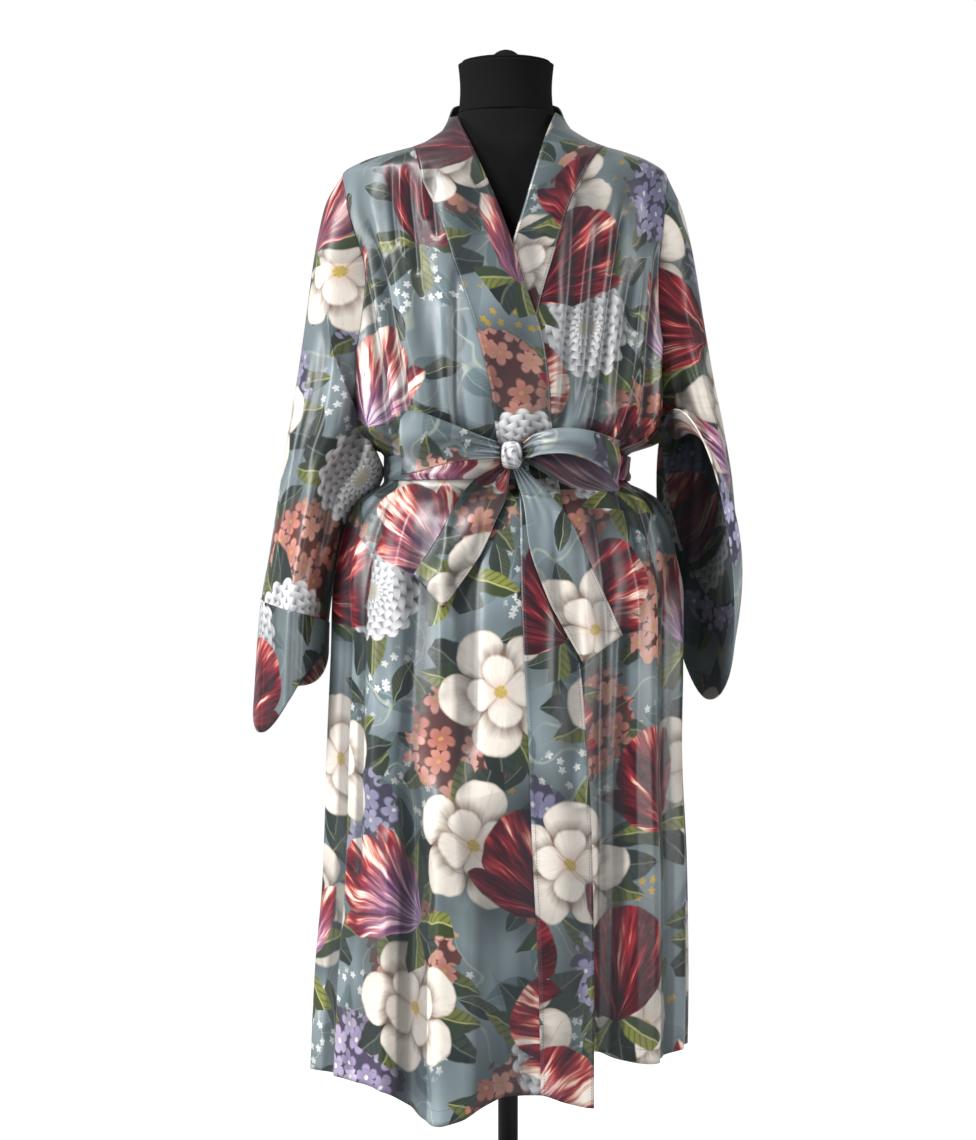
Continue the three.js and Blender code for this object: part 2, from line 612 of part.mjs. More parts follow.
function bandPlaces(side, row) {
  const over = side < 0;
  const seam = over ? overSeam : underSeam;
  if (row <= lastRow) {
    const z = rowHeight(row, over ? hemOver : hemUnder);
    const freeZ = row === 0 ? z : Math.max(seam.freeZ(z), over ? hemOver : hemUnder);
    return {
      seamAngle: angleAtX(seam.seamX(z) - side * seamGap / 2, z),
      seamZ: z,
      freeAngle: angleAtX(seam.freeX(z), freeZ),
      freeZ,
    };
  }
  const turn = lerp(90, 180 - 0.12, (row - lastRow) / napeRows);
  return {
    seamAngle: side * toRadians(turn),
    seamZ: neckPoint + seamGap,
    freeAngle: side * toRadians(Math.min(nape.freeTurn(turn), 179.8)),
    freeZ: nape.freeZ(turn),
  };
}

function neckBand(name, side, material) {
  const sink = side < 0 ? null : lapSink;
  const hem = side < 0 ? hemOver : hemUnder;
  const hemCurve = side < 0 ? overHemCurve : underHemCurve;
  const surface = (u, row) => {
    const place = bandPlaces(side, row);
    const angle = lerp(place.seamAngle, place.freeAngle, u);
    const z = waved(lerp(place.seamZ, place.freeZ, u), angle, hem, hemCurve);
    const x = bodyPoint(angle, z).x;
    return bodyPoint(angle, z, sink && row < lastRow ? sink(x, z) : 0);
  };
  const normalAt = (u, row) => {
    const point = surface(u, row);
    return bodyNormal(point, point.z, row < lastRow ? sink : null);
  };
  return clothWall(name, { surface, normalAt, uList: evenly(bandColumns, 0, 1), vList: bandRows }, material);
}

// Sleeves

function sleeveSurface(side, rings, folds) {
  const ring = columns(rings, 'along');
  const plain = (turn, along) => {
    const outX = ring.outX(along);
    const outZ = ring.outZ(along);
    const inX = ring.inX(along);
    const inZ = ring.inZ(along);
    const lengthwise = Math.cos(turn);
    const frontward = Math.sin(turn);
    let puff = 0;
    for (const fold of folds) {
      const away = THREE.MathUtils.radToDeg(Math.atan2(
        Math.sin(turn - toRadians(fold.round)),
        Math.cos(turn - toRadians(fold.round)),
      ));
      const fade = smooth(along, fold.start, fold.start + 0.15) * (1 - smooth(along, fold.end - 0.15, fold.end));
      puff += fold.depth * Math.exp(-((away / fold.width) ** 2)) * fade;
    }
    const depth = ring.depth(along) + puff;
    const carried = side * ring.spread(along) * frontward * (frontward > 0 ? 1 : backSpread);
    const under = (1 - lengthwise) / 2;
    const x = (outX + inX) / 2 + (outX - inX) / 2 * lengthwise + carried;
    const y = -depth * frontward - ring.lean(along) * (frontward >= 0 ? under : under * under);
    const dropped = ring.drop(along) * Math.abs(frontward) * (frontward > 0 ? 1 : backDrop);
    const z = (outZ + inZ) / 2 + (outZ - inZ) / 2 * lengthwise - ring.turnUp(along) * Math.sin(2 * turn) - dropped;
    return new THREE.Vector3(x, y, z);
  };
  // The first ring lies on the body surface, just inside the armhole edge of the panels.
  const armhole = (turn) => {
    const z = armholeMiddle + (armholeHalfHeight - seamGap) * Math.cos(turn);
    const front = Math.sin(turn) >= 0;
    const depth = (armholeHalfDepth - seamGap) * Math.abs(Math.sin(turn));
    const fromSide = angleFromSide(depth, front ? section.front(z) : section.back(z), z);
    return bodyPoint(side * (Math.PI / 2 + (front ? -fromSide : fromSide)), z);
  };
  const surface = (turn, along) => {
    const point = plain(turn, along);
    const held = 1 - smooth(along, 0, 0.16);
    if (held > 0) point.addScaledVector(armhole(turn).sub(plain(turn, 0)), held);
    return point;
  };
  // There the cloth turns out of the armhole, so its thickness points across the opening.
  const startNormal = (turn) => new THREE.Vector3(
    0,
    -Math.sin(turn) / armholeHalfDepth,
    Math.cos(turn) / armholeHalfHeight,
  ).normalize();
  // The seam's gap to each side, as a share of the sleeve's length at that place round it.
  const halfGap = (turn) => {
    const step = 0.005;
    const length = surface(turn, cuffSeam + step).distanceTo(surface(turn, cuffSeam - step));
    return 2 * seamGap * step / length;
  };
  return { surface, startNormal, halfGap };
}

function sleevePair(side, rings, folds, material, names) {
  const { surface, startNormal, halfGap } = sleeveSurface(side, rings, folds);
  const turns = Array.from({ length: 2 * armholeRows }, (_, i) => (i * Math.PI) / armholeRows);
  const upper = clothWall(names.sleeve, {
    surface: (turn, v) => surface(turn, v * (cuffSeam - halfGap(turn))),
    uList: turns,
    vList: evenly(sleeveRings, 0, 1),
    closed: true,
    outSign: side,
    normalAt: (turn, v) => (v === 0 ? startNormal(turn) : null),
  }, material);
  const cuff = clothWall(names.cuff, {
    surface: (turn, v) => surface(turn, lerp(cuffSeam + halfGap(turn), 1, v)),
    uList: turns,
    vList: evenly(cuffRings, 0, 1),
    closed: true,
    outSign: side,
  }, material);
  return [upper, cuff];
}

// Belt and bow

function beltRing(material) {
  const steps = 48;
  const surface = (u, v) => {
    const angle = u * 2 * Math.PI;
    const gather = 0.5 * (1 - Math.cos(angle)) * 2.5;
    const z = lerp(beltBottom + 3 + gather, beltTop - 4 - gather * 0.4, v);
    return bodyPoint(angle, (beltTop + beltBottom) / 2, -beltSeat - beltThickness).setZ(z);
  };
  return clothWall('belt', {
    surface,
    uList: Array.from({ length: steps }, (_, i) => i / steps),
    vList: evenly(1, 0, 1),
    thickness: beltThickness,
    closed: true,
  }, material);
}

function bowLoop(name, stations, material) {
  const rows = stations.map((row, i) => ({ ...row, at: i }));
  const last = rows.length - 1;
  const middle = new THREE.CatmullRomCurve3(
    rows.map((row) => new THREE.Vector3(row.x, row.y, row.z)),
    false,
    'centripetal',
  );
  const half = column(rows, 'at', 'half');
  const tip = column(rows, 'at', 'tip');
  const surface = (u, v) => {
    const inside = clamp(v, 0, last);
    const centre = middle.getPoint(inside / last);
    const lean = toRadians(tip(inside));
    const reach = (2 * u - 1) * half(inside);
    return new THREE.Vector3(centre.x, centre.y + reach * Math.sin(lean), centre.z + reach * Math.cos(lean));
  };
  const outSign = stations[0].x < 0 ? 1 : -1;
  return clothWall(name, {
    surface,
    uList: evenly(3, 0, 1),
    vList: evenly(2 * last, 0, last),
    thickness: loopThickness,
    outSign,
  }, material);
}

function bowTail(name, stations, material) {
  const rows = stations.map((row, i) => ({ ...row, at: i }));
  const last = rows.length - 1;
  const edge = columns(rows, 'at');
  const surface = (u, v) => {
    const x = lerp(edge.edgeX(v), edge.otherX(v), u);
    const z = lerp(edge.edgeZ(v), edge.otherZ(v), u);
    const onSkirt = bodyPoint(angleAtX(x, z), z, -tailSeat - tailThickness).y;
    const atKnot = knot.y + 2 * Math.max(v, 0);
    const ridge = 3 * Math.sin(Math.PI * u) * smooth(v, 0, 1.5);
    return new THREE.Vector3(x, Math.min(onSkirt, atKnot) - ridge, z);
  };
  return clothWall(name, {
    surface,
    uList: evenly(4, 0, 1),
    vList: evenly(3 * last, 0, last),
    thickness: tailThickness,
    outSign: -1,
  }, material);
}

function bowKnot(material) {
  const rings = [];
  const levels = 8;
  for (let j = 0; j <= levels; j += 1) {
    const tilt = lerp(-0.46, 0.46, j / levels) * Math.PI;
    const reach = Math.cos(tilt) ** 0.7;
    const ring = Array.from({ length: 14 }, (_, i) => {
      const turn = (i / 14) * 2 * Math.PI;
      return new THREE.Vector3(
        knot.x + knot.halfWidth * reach * signedPower(Math.cos(turn), 0.85),
        knot.y + knot.halfDepth * reach * signedPower(Math.sin(turn), 0.85),
        knot.z + knot.halfHeight * Math.sin(tilt),
      );
    });
    rings.push(ring);
  }
  return skinnedBody('bow_knot', rings, material);
}

// Dress form and stand

function ringOf(centreX, half, z, square, around) {
  return Array.from({ length: around }, (_, i) => {
    const turn = (i / around) * 2 * Math.PI;
    const wide = Math.sin(turn) < 0 ? half.left : half.right;
    const deep = Math.cos(turn) > 0 ? half.front : half.back;
    return new THREE.Vector3(
      centreX + wide * signedPower(Math.sin(turn), 2 / square),
      -deep * signedPower(Math.cos(turn), 2 / square),
      z,
    );
  });
}

function formBody(material) {
  const form = columns(formSections, 'z');
  const heights = [
    ...evenly(9, formSections[0].z, 1320),
    ...formSections.map((row) => row.z).filter((z) => z > 1320),
  ];
  const rings = heights.map((z) => {
    const half = { left: form.left(z), right: form.right(z), front: form.front(z), back: form.back(z) };
    return ringOf(0, half, z, formSquare, 28);
  });
  return skinnedBody('form_body', rings, material);
}

function formNeck(material) {
  const heights = evenly(4, neckBottom, neckTop);
  const rings = heights.map((z) => {
    const waist = 2.2 * Math.sin(Math.PI * clamp((z - neckBottom) / (neckTop - neckBottom), 0, 1));
    const radius = neckRadius - waist;
    return ringOf(neckCentre, { left: radius, right: radius, front: radius, back: radius }, z, 2, 24);
  });
  return skinnedBody('form_neck', rings, material);
}

function formCap(material) {
  const bottom = neckTop + 0.3;
  const profile = [
    [0, bottom],
    [50, bottom],
    [51.5, bottom + 2],
    [46, bottom + 4.5],
    [20, bottom + 9],
    [15, bottom + 11],
    [10, bottom + 15.5],
    [4, bottom + 17.6],
    [0, bottom + 17.9],
  ].map(([radius, height]) => new THREE.Vector2(radius, height));
  const mesh = new THREE.Mesh(new THREE.LatheGeometry(profile, 22), material);
  mesh.name = 'form_cap';
  mesh.rotation.x = Math.PI / 2;
  mesh.position.x = neckCentre;
  return mesh;
}

function standPole(material) {
  const bottom = footHeight + 0.3;
  const top = formSections[0].z - 0.3;
  const mesh = new THREE.Mesh(new THREE.CylinderGeometry(poleRadius, poleRadius, top - bottom, 20), material);
  mesh.name = 'stand_pole';
  mesh.rotation.x = Math.PI / 2;
  mesh.position.z = (top + bottom) / 2;
  return mesh;
}

function standFoot(material) {
  const profile = [
    [0, 0],
    [footRadius - 6, 0],
    [footRadius, 6],
    [footRadius - 4, 12],
    [footRadius * 0.6, 19],
    [footRadius * 0.2, 25],
    [20, footHeight],
    [0, footHeight],
  ].map(([radius, height]) => new THREE.Vector2(radius, height));
  const mesh = new THREE.Mesh(new THREE.LatheGeometry(profile, 32), material);
  mesh.name = 'stand_base';
  mesh.rotation.x = Math.PI / 2;
  return mesh;
}

// Materials and assembly

const printedCotton = new THREE.MeshStandardMaterial({ color: 0x7b919b, roughness: 0.55, metalness: 0 });
const beltCotton = new THREE.MeshStandardMaterial({ color: 0x6f858f, roughness: 0.55, metalness: 0 });
const formJersey = new THREE.MeshStandardMaterial({ color: 0x111214, roughness: 0.9, metalness: 0 });
const standMetal = new THREE.MeshStandardMaterial({ color: 0x16171a, roughness: 0.4, metalness: 0.6 });

const group = new THREE.Group();
group.add(
  backPanel(printedCotton),
  frontPanel('front_over', -1, printedCotton),
  frontPanel('front_under', 1, printedCotton),
  neckBand('neck_band_over', -1, printedCotton),
  neckBand('neck_band_under', 1, printedCotton),
  ...sleevePair(-1, leftSleeveRings, leftSleeveFolds, printedCotton, { sleeve: 'sleeve_left', cuff: 'cuff_left' }),
  ...sleevePair(1, rightSleeveRings, rightSleeveFolds, printedCotton, { sleeve: 'sleeve_right', cuff: 'cuff_right' }),
  beltRing(beltCotton),
  bowKnot(beltCotton),
  bowLoop('bow_loop_left', leftLoop, beltCotton),
  bowLoop('bow_loop_right', rightLoop, beltCotton),
  bowTail('bow_tail_left', leftTail, beltCotton),
  bowTail('bow_tail_right', rightTail, beltCotton),
  formBody(formJersey),
  formNeck(formJersey),
  formCap(formJersey),
  standPole(standMetal),
  standFoot(standMetal),
);

export default group;
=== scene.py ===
import bpy
import numpy as np
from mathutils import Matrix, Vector


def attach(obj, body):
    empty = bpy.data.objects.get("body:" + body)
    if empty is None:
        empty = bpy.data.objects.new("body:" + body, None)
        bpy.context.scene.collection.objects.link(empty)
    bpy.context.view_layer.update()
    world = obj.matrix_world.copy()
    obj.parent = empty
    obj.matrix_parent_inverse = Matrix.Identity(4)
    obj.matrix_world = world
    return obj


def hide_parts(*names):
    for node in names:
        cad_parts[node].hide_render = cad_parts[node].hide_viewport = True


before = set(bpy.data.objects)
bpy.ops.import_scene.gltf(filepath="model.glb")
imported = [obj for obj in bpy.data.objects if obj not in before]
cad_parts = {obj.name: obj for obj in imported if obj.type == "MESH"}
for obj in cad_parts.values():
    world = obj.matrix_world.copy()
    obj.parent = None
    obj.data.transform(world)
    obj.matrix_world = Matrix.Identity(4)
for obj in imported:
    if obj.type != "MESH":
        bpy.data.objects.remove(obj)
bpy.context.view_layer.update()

print("frame loaded")

# The cloth is worked out in millimetres and put into meshes in metres.
# Angles run round the figure from the front middle, the viewer's left negative.

clothWall = 0.9
hemOver, hemUnder, hemBack = 310, 362, 335
underarm, shoulderTip, neckPoint = 1062, 1355, 1386
armholeMiddle = (shoulderTip + underarm) / 2
armholeHalfHeight = (shoulderTip - underarm) / 2
armholeHalfDepth = 62
beltMiddle = 1018

# Sections of the robe: height, half width left and right, depth front and back, squareness.
bodySections = np.array([
    [280, 226, 203, 177, 170, 2.15], [450, 218, 206, 170, 166, 2.15], [560, 209, 205, 165, 162, 2.15],
    [700, 205, 200, 160, 158, 2.15], [800, 201, 201, 155, 154, 2.15], [870, 198, 201, 149, 148, 2.15],
    [923, 189, 190, 139, 137, 2.15], [958, 176, 178, 127, 124, 2.15], [980, 162, 164, 115, 111, 2.15],
    [1000, 137, 137, 101, 95, 2.15], [1036, 137, 137, 101, 95, 2.15], [1048, 159, 161, 112, 107, 2.2],
    [1062, 172, 174, 120, 112, 2.25], [1100, 178, 181, 126, 112, 2.3], [1174, 180, 182, 130, 110, 2.3],
    [1221, 183, 184, 127, 110, 2.3], [1270, 188, 187, 119, 109, 2.3], [1318, 192, 188, 106, 104, 2.3],
    [1355, 190, 182, 94, 97, 2.3], [1369, 168, 163, 88, 92, 2.3], [1378, 138, 139, 84, 88, 2.3],
    [1386, 108, 111, 79, 84, 2.3], [1395, 90, 91, 74, 79, 2.25], [1408, 74, 72, 68, 74, 2.2],
    [1424, 66.5, 62.5, 63, 69, 2.1], [1455, 62.5, 58, 59, 66, 2.1],
])

# Folds: angle at top and foot, height of top and foot, width in degrees, depth outward, whether
# it runs out at its foot.
bodyFolds = [
    (-58, -37, 1325, 1062, 7, -15, 1), (-45, -27, 1300, 1050, 5, 6, 1), (-30, -26, 1345, 1240, 3.5, -4, 1),
    (-38, -36, 1345, 1220, 3.5, -4, 1), (30, 24, 1330, 1050, 6, -7, 1), (46, 38, 1260, 1050, 5, -8, 1),
    (57, 47, 1290, 1060, 5, 8, 1), (160, 168, 1300, 1045, 9, -6, 1), (-150, -158, 1280, 1045, 8, -7, 1),
    (-128, -140, 1250, 1050, 7, 6, 1), (124, 138, 1240, 1050, 7, -7, 1), (-13, -13, 960, 640, 5, -7, 1),
    (-30, -34, 960, 600, 7, -12, 1), (-44, -46, 950, 300, 8, 6, 0), (-31, -29, 690, 300, 6, -16, 0),
    (-21, -17, 700, 300, 6, 13, 0), (-67, -66, 900, 300, 8, -8, 0), (6, 4, 720, 300, 7, -6, 0),
    (37, 33, 900, 340, 5, -8, 0), (49, 47, 930, 340, 8, 8, 0), (66, 64, 930, 340, 7, -9, 0),
    (108, 112, 940, 330, 8, -10, 0), (129, 131, 960, 330, 9, 9, 0), (149, 151, 960, 330, 8, -13, 0),
    (172, 170, 960, 330, 8, 10, 0), (-166, -169, 950, 330, 7, -11, 0), (-146, -147, 960, 330, 9, 11, 0),
    (-124, -126, 950, 330, 8, -12, 0),
]

# Smaller creases placed over those: shoulder gathers, pleats by the band, drag lines.
fineFolds = [
    (-24, -22, 1362, 1268, 1.7, -2.6, 1), (-33, -31, 1366, 1230, 2.0, -3.4, 1),
    (-41, -40, 1368, 1262, 1.6, -2.4, 1), (-27.5, -26, 1364, 1290, 1.5, 2.2, 1),
    (-36.5, -35, 1366, 1248, 1.6, 2.6, 1), (-16, -17, 1250, 1052, 2.2, -3.6, 1),
    (-21, -19, 1215, 1046, 2.4, 3.0, 1), (-50, -31, 1305, 1050, 2.6, 4.2, 1),
    (-68, -49, 1290, 1052, 3.0, -4.6, 1), (-74, -60, 1250, 1046, 3.4, 3.8, 1),
    (-63, -44, 1240, 1044, 2.2, -3.0, 1), (20, 16, 1330, 1060, 2.6, -2.6, 1),
    (26, 19, 1310, 1046, 2.4, 2.4, 1), (40, 29, 1318, 1046, 2.4, -3.6, 1),
    (51, 42, 1255, 1046, 2.0, 3.2, 1), (63, 54, 1285, 1046, 2.6, -5.2, 1),
    (72, 62, 1300, 1050, 2.6, 4.0, 1), (80, 74, 1270, 1044, 2.4, -4.2, 1),
    (34, 20, 1200, 1044, 1.8, 2.6, 1), (58, 36, 1180, 1042, 1.8, -2.6, 1),
    (-9, -10, 986, 700, 2.4, -3.0, 1), (-21, -20, 988, 760, 2.6, 3.2, 1), (-38, -37, 990, 720, 2.8, 3.4, 1),
    (-53, -52, 990, 560, 3.2, -4.0, 1), (-62, -60, 985, 420, 3.4, 3.4, 0),
    (-78, -78, 985, 330, 3.6, 3.6, 0), (14, 13, 990, 770, 2.2, -2.2, 1), (24, 22, 990, 640, 2.8, 2.8, 1),
    (31, 29, 992, 520, 2.6, -3.4, 0), (43, 40, 990, 480, 2.8, 3.2, 0), (57, 56, 990, 440, 3.0, -3.8, 0),
    (74, 72, 985, 350, 3.4, 3.6, 0), (84, 84, 980, 380, 3.0, -3.0, 0), (-24, -23, 620, 300, 2.4, -3.4, 0),
    (-37, -36, 640, 300, 2.6, 4.6, 0), (-11, -10, 560, 300, 2.6, 3.0, 0), (119, 121, 985, 335, 3.6, 3.8, 0),
    (140, 141, 985, 420, 3.4, -4.0, 0), (160, 161, 990, 335, 3.4, 4.2, 0),
    (180, 179, 985, 380, 3.2, -3.6, 0), (-156, -158, 985, 335, 3.6, 3.8, 0),
    (-135, -136, 985, 450, 3.2, -3.6, 0), (-112, -113, 985, 335, 3.6, 4.2, 0),
    (-99, -98, 980, 380, 3.0, -3.2, 0), (172, 174, 1330, 1050, 3.4, 3.2, 1),
    (148, 156, 1290, 1046, 3.0, -3.6, 1), (132, 146, 1270, 1044, 2.8, 3.4, 1),
    (112, 126, 1240, 1044, 3.0, -3.8, 1), (-172, -170, 1320, 1048, 3.0, -3.0, 1),
    (-140, -150, 1300, 1044, 3.2, 3.6, 1), (-118, -132, 1250, 1044, 3.0, -4.0, 1),
    (-104, -118, 1220, 1046, 2.6, 3.2, 1),
]

# Over how many millimetres each set of folds fades at its top, its foot and the belt, and its gain.
foldSets = [
    {"rows": bodyFolds, "top": 90, "foot": 60, "belt": (22, 60), "gain": 1.2},
    {"rows": fineFolds, "top": 40, "foot": 8, "belt": (18, 34), "gain": 1.35},
]

# The neck bands: seam height, seam x, free edge x, free edge height. The nape: turn, free turn, height.
overBandRows = np.array([
    [280, 35, 94, 280], [450, 32, 94, 450], [591, 26, 92, 591], [735, 20, 83, 735], [860, 14, 73, 860],
    [990, 11, 57, 990], [1048, -13, 48, 1047], [1100, -19, 46, 1094], [1173, -37, 38, 1155],
    [1232, -57, 19, 1216], [1271, -68, 5, 1262], [1308, -83, -10, 1305], [1343, -97, -28, 1348],
    [1368, -103, -43, 1383], [1386, -107.5, -58, 1418],
])
underBandRows = np.array([
    [280, -35, -94, 280], [591, -26, -90, 591], [860, -14, -74, 860], [990, -9, -62, 990],
    [1048, 4, -56, 1047], [1124, 20, -38, 1110], [1201, 35, -19, 1187], [1264, 53, 1, 1255],
    [1323, 73, 21, 1322], [1353, 88, 34, 1367], [1372, 100, 43, 1396], [1386, 110.5, 53, 1422],
])
napeRows = np.array([[90, 84, 1420], [112, 108, 1438], [140, 138, 1446], [180, 180, 1449]])


# Numbers and curves

# 3tt - 2ttt, with t rising from 0 at low to 1 at high.
def smooth(value, low, high):
    t = np.clip((value - low) / (high - low), 0, 1)
    return t * t * (3 - 2 * t)


def mix(a, b, share):
    return a + (b - a) * share


# A monotone cubic through a table's column: the tangent at a knot is the harmonic mean of the
# slopes beside it, 2ab / (a + b), and 0 where they differ in sign.
def curveThrough(knots, values):
    slopes = np.diff(values) / np.diff(knots)
    before, after = slopes[:-1], slopes[1:]
    together = np.where(before * after > 0, before + after, 1)
    middle = np.where(before * after > 0, 2 * before * after / together, 0)
    tangents = np.concatenate([slopes[:1], middle, slopes[-1:]])

    def at(place):
        kept = np.clip(place, knots[0], knots[-1])
        i = np.clip(np.searchsorted(knots, kept) - 1, 0, len(knots) - 2)
        step = knots[i + 1] - knots[i]
        t = (kept - knots[i]) / step
        rise = t * t * (3 - 2 * t)
        bend = tangents[i] * t * (1 - t) ** 2 + tangents[i + 1] * t * t * (t - 1)
        return values[i] * (1 - rise) + values[i + 1] * rise + bend * step

    return at


def columnsOf(table, names):
    return {name: curveThrough(table[:, 0], table[:, i + 1]) for i, name in enumerate(names)}


def signedPower(value, power):
    return np.sign(value) * np.abs(value) ** power


section = columnsOf(bodySections, ["left", "right", "front", "back", "square"])
overSeam = columnsOf(overBandRows, ["seamX", "freeX", "freeZ"])
underSeam = columnsOf(underBandRows, ["seamX", "freeX", "freeZ"])
overFreeX = curveThrough(overBandRows[:, 3], overBandRows[:, 2])
nape = columnsOf(napeRows, ["turn", "height"])


# The robe's body surface

def halfWidth(x, z):
    return np.where(x < 0, section["left"](z), section["right"](z))


# exp(-|away / width|^1.5): a rounded ridge with a fairly sharp crest.
def crease(away, width):
    return np.exp(-(np.abs(away / width) ** 1.5))


# The sum over the folds of depth * crease, faded at the top, at the foot and at the belt.
def foldOffset(angle, z):
    degrees = np.degrees(angle)
    total = np.zeros(np.broadcast(angle, z).shape)
    for folds in foldSets:
        part = np.zeros_like(total)
        for top, foot, zTop, zFoot, width, depth, runsOut in folds["rows"]:
            down = np.clip((zTop - z) / (zTop - zFoot), 0, 1)
            away = np.mod(degrees - mix(top, foot, down) + 180, 360) - 180
            fade = smooth(zTop - z, 0, folds["top"])
            if runsOut:
                fade = fade * smooth(z - zFoot, 0, folds["foot"])
            part += depth * crease(away, width) * fade
        total += part * smooth(np.abs(z - beltMiddle), *folds["belt"]) * folds["gain"]
    return total + softRipple(degrees, z) + beltGathers(degrees, z)


# Short gathers where the belt draws the cloth in, and the cloth puffing out over it: sines of the
# angle with drifting steps, falling off with the distance from the belt, and nearly flat behind
# the bow's tails.
def beltGathers(degrees, z):
    away = np.abs(z - beltMiddle)
    near = smooth(away, 14, 25) * np.exp(-np.maximum(away - 30, 0) / 48)
    turn = np.radians(degrees)
    gathers = np.sin(19 * turn + 2.1 * np.sin(3 * turn))
    gathers = gathers + 0.7 * np.sin(31 * turn + 1.7 * np.sin(5 * turn + 1))
    puff = 3.5 + 5 * np.exp(-(((degrees + 90) / 22) ** 2)) + 9 * np.exp(-(((degrees - 90) / 22) ** 2))
    wideLeft = 6 * np.exp(-(((degrees + 90) / 18) ** 2)) * np.exp(-((away / 60) ** 2))
    behindTails = (1 - smooth(np.abs(degrees), 34, 52)) * (z < beltMiddle)
    return near * (2.2 * gathers + puff) * (1 - 0.85 * behindTails) + wideLeft


# Slow unevenness of hanging cloth: two pairs of sines of angle and height that drift out of step.
def softRipple(degrees, z):
    skirt = smooth(960 - z, 0, 120)
    chest = smooth(z - 1060, 0, 60) * (1 - smooth(z, 1320, 1360))
    low = 1.8 * np.sin(np.radians(degrees * 9 + z * 0.11))
    low = low + 1.3 * np.sin(np.radians(degrees * 17 - z * 0.17 + 40))
    high = 1.3 * np.sin(np.radians(degrees * 13 + z * 0.55))
    high = high + 1.0 * np.sin(np.radians(degrees * 21 - z * 0.8 + 70))
    return low * skirt + high * chest


def bodyPoint(angle, z, drop=0):
    angle, z = np.broadcast_arrays(np.asarray(angle, float), np.asarray(z, float))
    power = 2 / section["square"](z)
    wide = halfWidth(np.sin(angle), z)
    deep = np.where(np.cos(angle) > 0, section["front"](z), section["back"](z))
    x = wide * signedPower(np.sin(angle), power)
    y = -deep * signedPower(np.cos(angle), power)
    outX, outY = x / wide ** 2, y / deep ** 2
    push = (foldOffset(angle, z) - drop) / np.hypot(outX, outY)
    return np.stack([x + outX * push, y + outY * push, z], axis=-1)


def angleAtX(x, z):
    share = np.clip(np.abs(x) / halfWidth(x, z), 0, 1)
    return np.sign(x) * np.arcsin(share ** (section["square"](z) / 2))


def angleFromSide(distance, deep, z):
    return np.arcsin((distance / deep) ** (section["square"](z) / 2))


def sideEdge(z, front):
    deep = section["front"](z) if front else section["back"](z)
    share = np.clip((z - armholeMiddle) / armholeHalfHeight, -1, 1)
    fromSide = angleFromSide(armholeHalfDepth * np.sqrt(1 - share * share), deep, z)
    return np.pi / 2 - fromSide if front else np.pi / 2 + fromSide


# How far the under layer lies behind the over front, by place across.
def lapSink(x, z):
    edge = overFreeX(z)
    return 4 * (1 - smooth(x, edge + 12, edge + 42)) + 5 * (1 - smooth(x, edge - 60, edge))


# Heights of the hem round the figure: angle in degrees against height.
overHem = curveThrough(np.array([-90.0, -60, -45, -36, -30, -24, -19, -12, -6, 0, 8, 16, 24, 34]),
                       np.array([335.0, 337, 336, 329, 314, 301, 297, 303, 318, 329, 330, 321, 314, 310]))
underHem = curveThrough(np.array([-40.0, 0, 22, 28, 36, 46, 58, 70, 90]),
                        np.array([362.0, 366, 375, 373, 363, 357, 356, 360, 372]))
backHem = curveThrough(np.array([80.0, 100, 120, 145, 165, 185, 205, 230, 250, 280]),
                       np.array([368.0, 350, 342, 335, 331, 334, 337, 333, 336, 335]))


# Rows of a panel: the nominal heights, closer together at the belt and over the shoulder.
def panelHeights(hem):
    parts = [np.linspace(hem, 930, 110), np.linspace(930, 1000, 22), np.linspace(1000, 1048, 14),
             np.linspace(1048, shoulderTip, 84), np.linspace(shoulderTip, neckPoint, 22)]
    return np.unique(np.concatenate(parts))[:, None]


# The hem's waves are carried up the skirt and die out 260 mm above it.
def wavedHeight(z, angle, hem, hemCurve):
    return z + (hemCurve(np.degrees(angle)) - hem) * (1 - smooth(z, hem, hem + 260))


# Meshes

# The outward direction of a grid of points: the cross product of its two gradients.
def gridNormals(points, turned=False):
    across = np.gradient(points, axis=1)
    along = np.gradient(points, axis=0)
    normal = np.cross(across, along)
    normal /= np.linalg.norm(normal, axis=-1, keepdims=True) + 1e-9
    return -normal if turned else normal


# Distance run along one axis of a grid, from its first row or column.
def runAlong(points, axis):
    step = np.linalg.norm(np.diff(points, axis=axis), axis=-1)
    start = np.zeros_like(np.take(step, [0], axis=axis))
    return np.concatenate([start, np.cumsum(step, axis=axis)], axis=axis)


# How far each point stands out of the cloth beside it: its distance from the mean of the nine
# points either side across the grid, taken along the outward normal, in units of 2 mm.
# The cloth materials darken their colour with painted shade where this is low, in the fold valleys.
def foldHeight(points, turned):
    reach = min(9, points.shape[1] // 3)
    wide = np.pad(points, ((0, 0), (reach, reach), (0, 0)), mode="reflect", reflect_type="odd")
    total = np.cumsum(np.pad(wide, ((0, 0), (1, 0), (0, 0))), axis=1)
    mean = (total[:, 2 * reach + 1:] - total[:, :-2 * reach - 1]) / (2 * reach + 1)
    return np.clip(((points - mean) * gridNormals(points, turned)).sum(axis=-1) / 2, -1, 1)


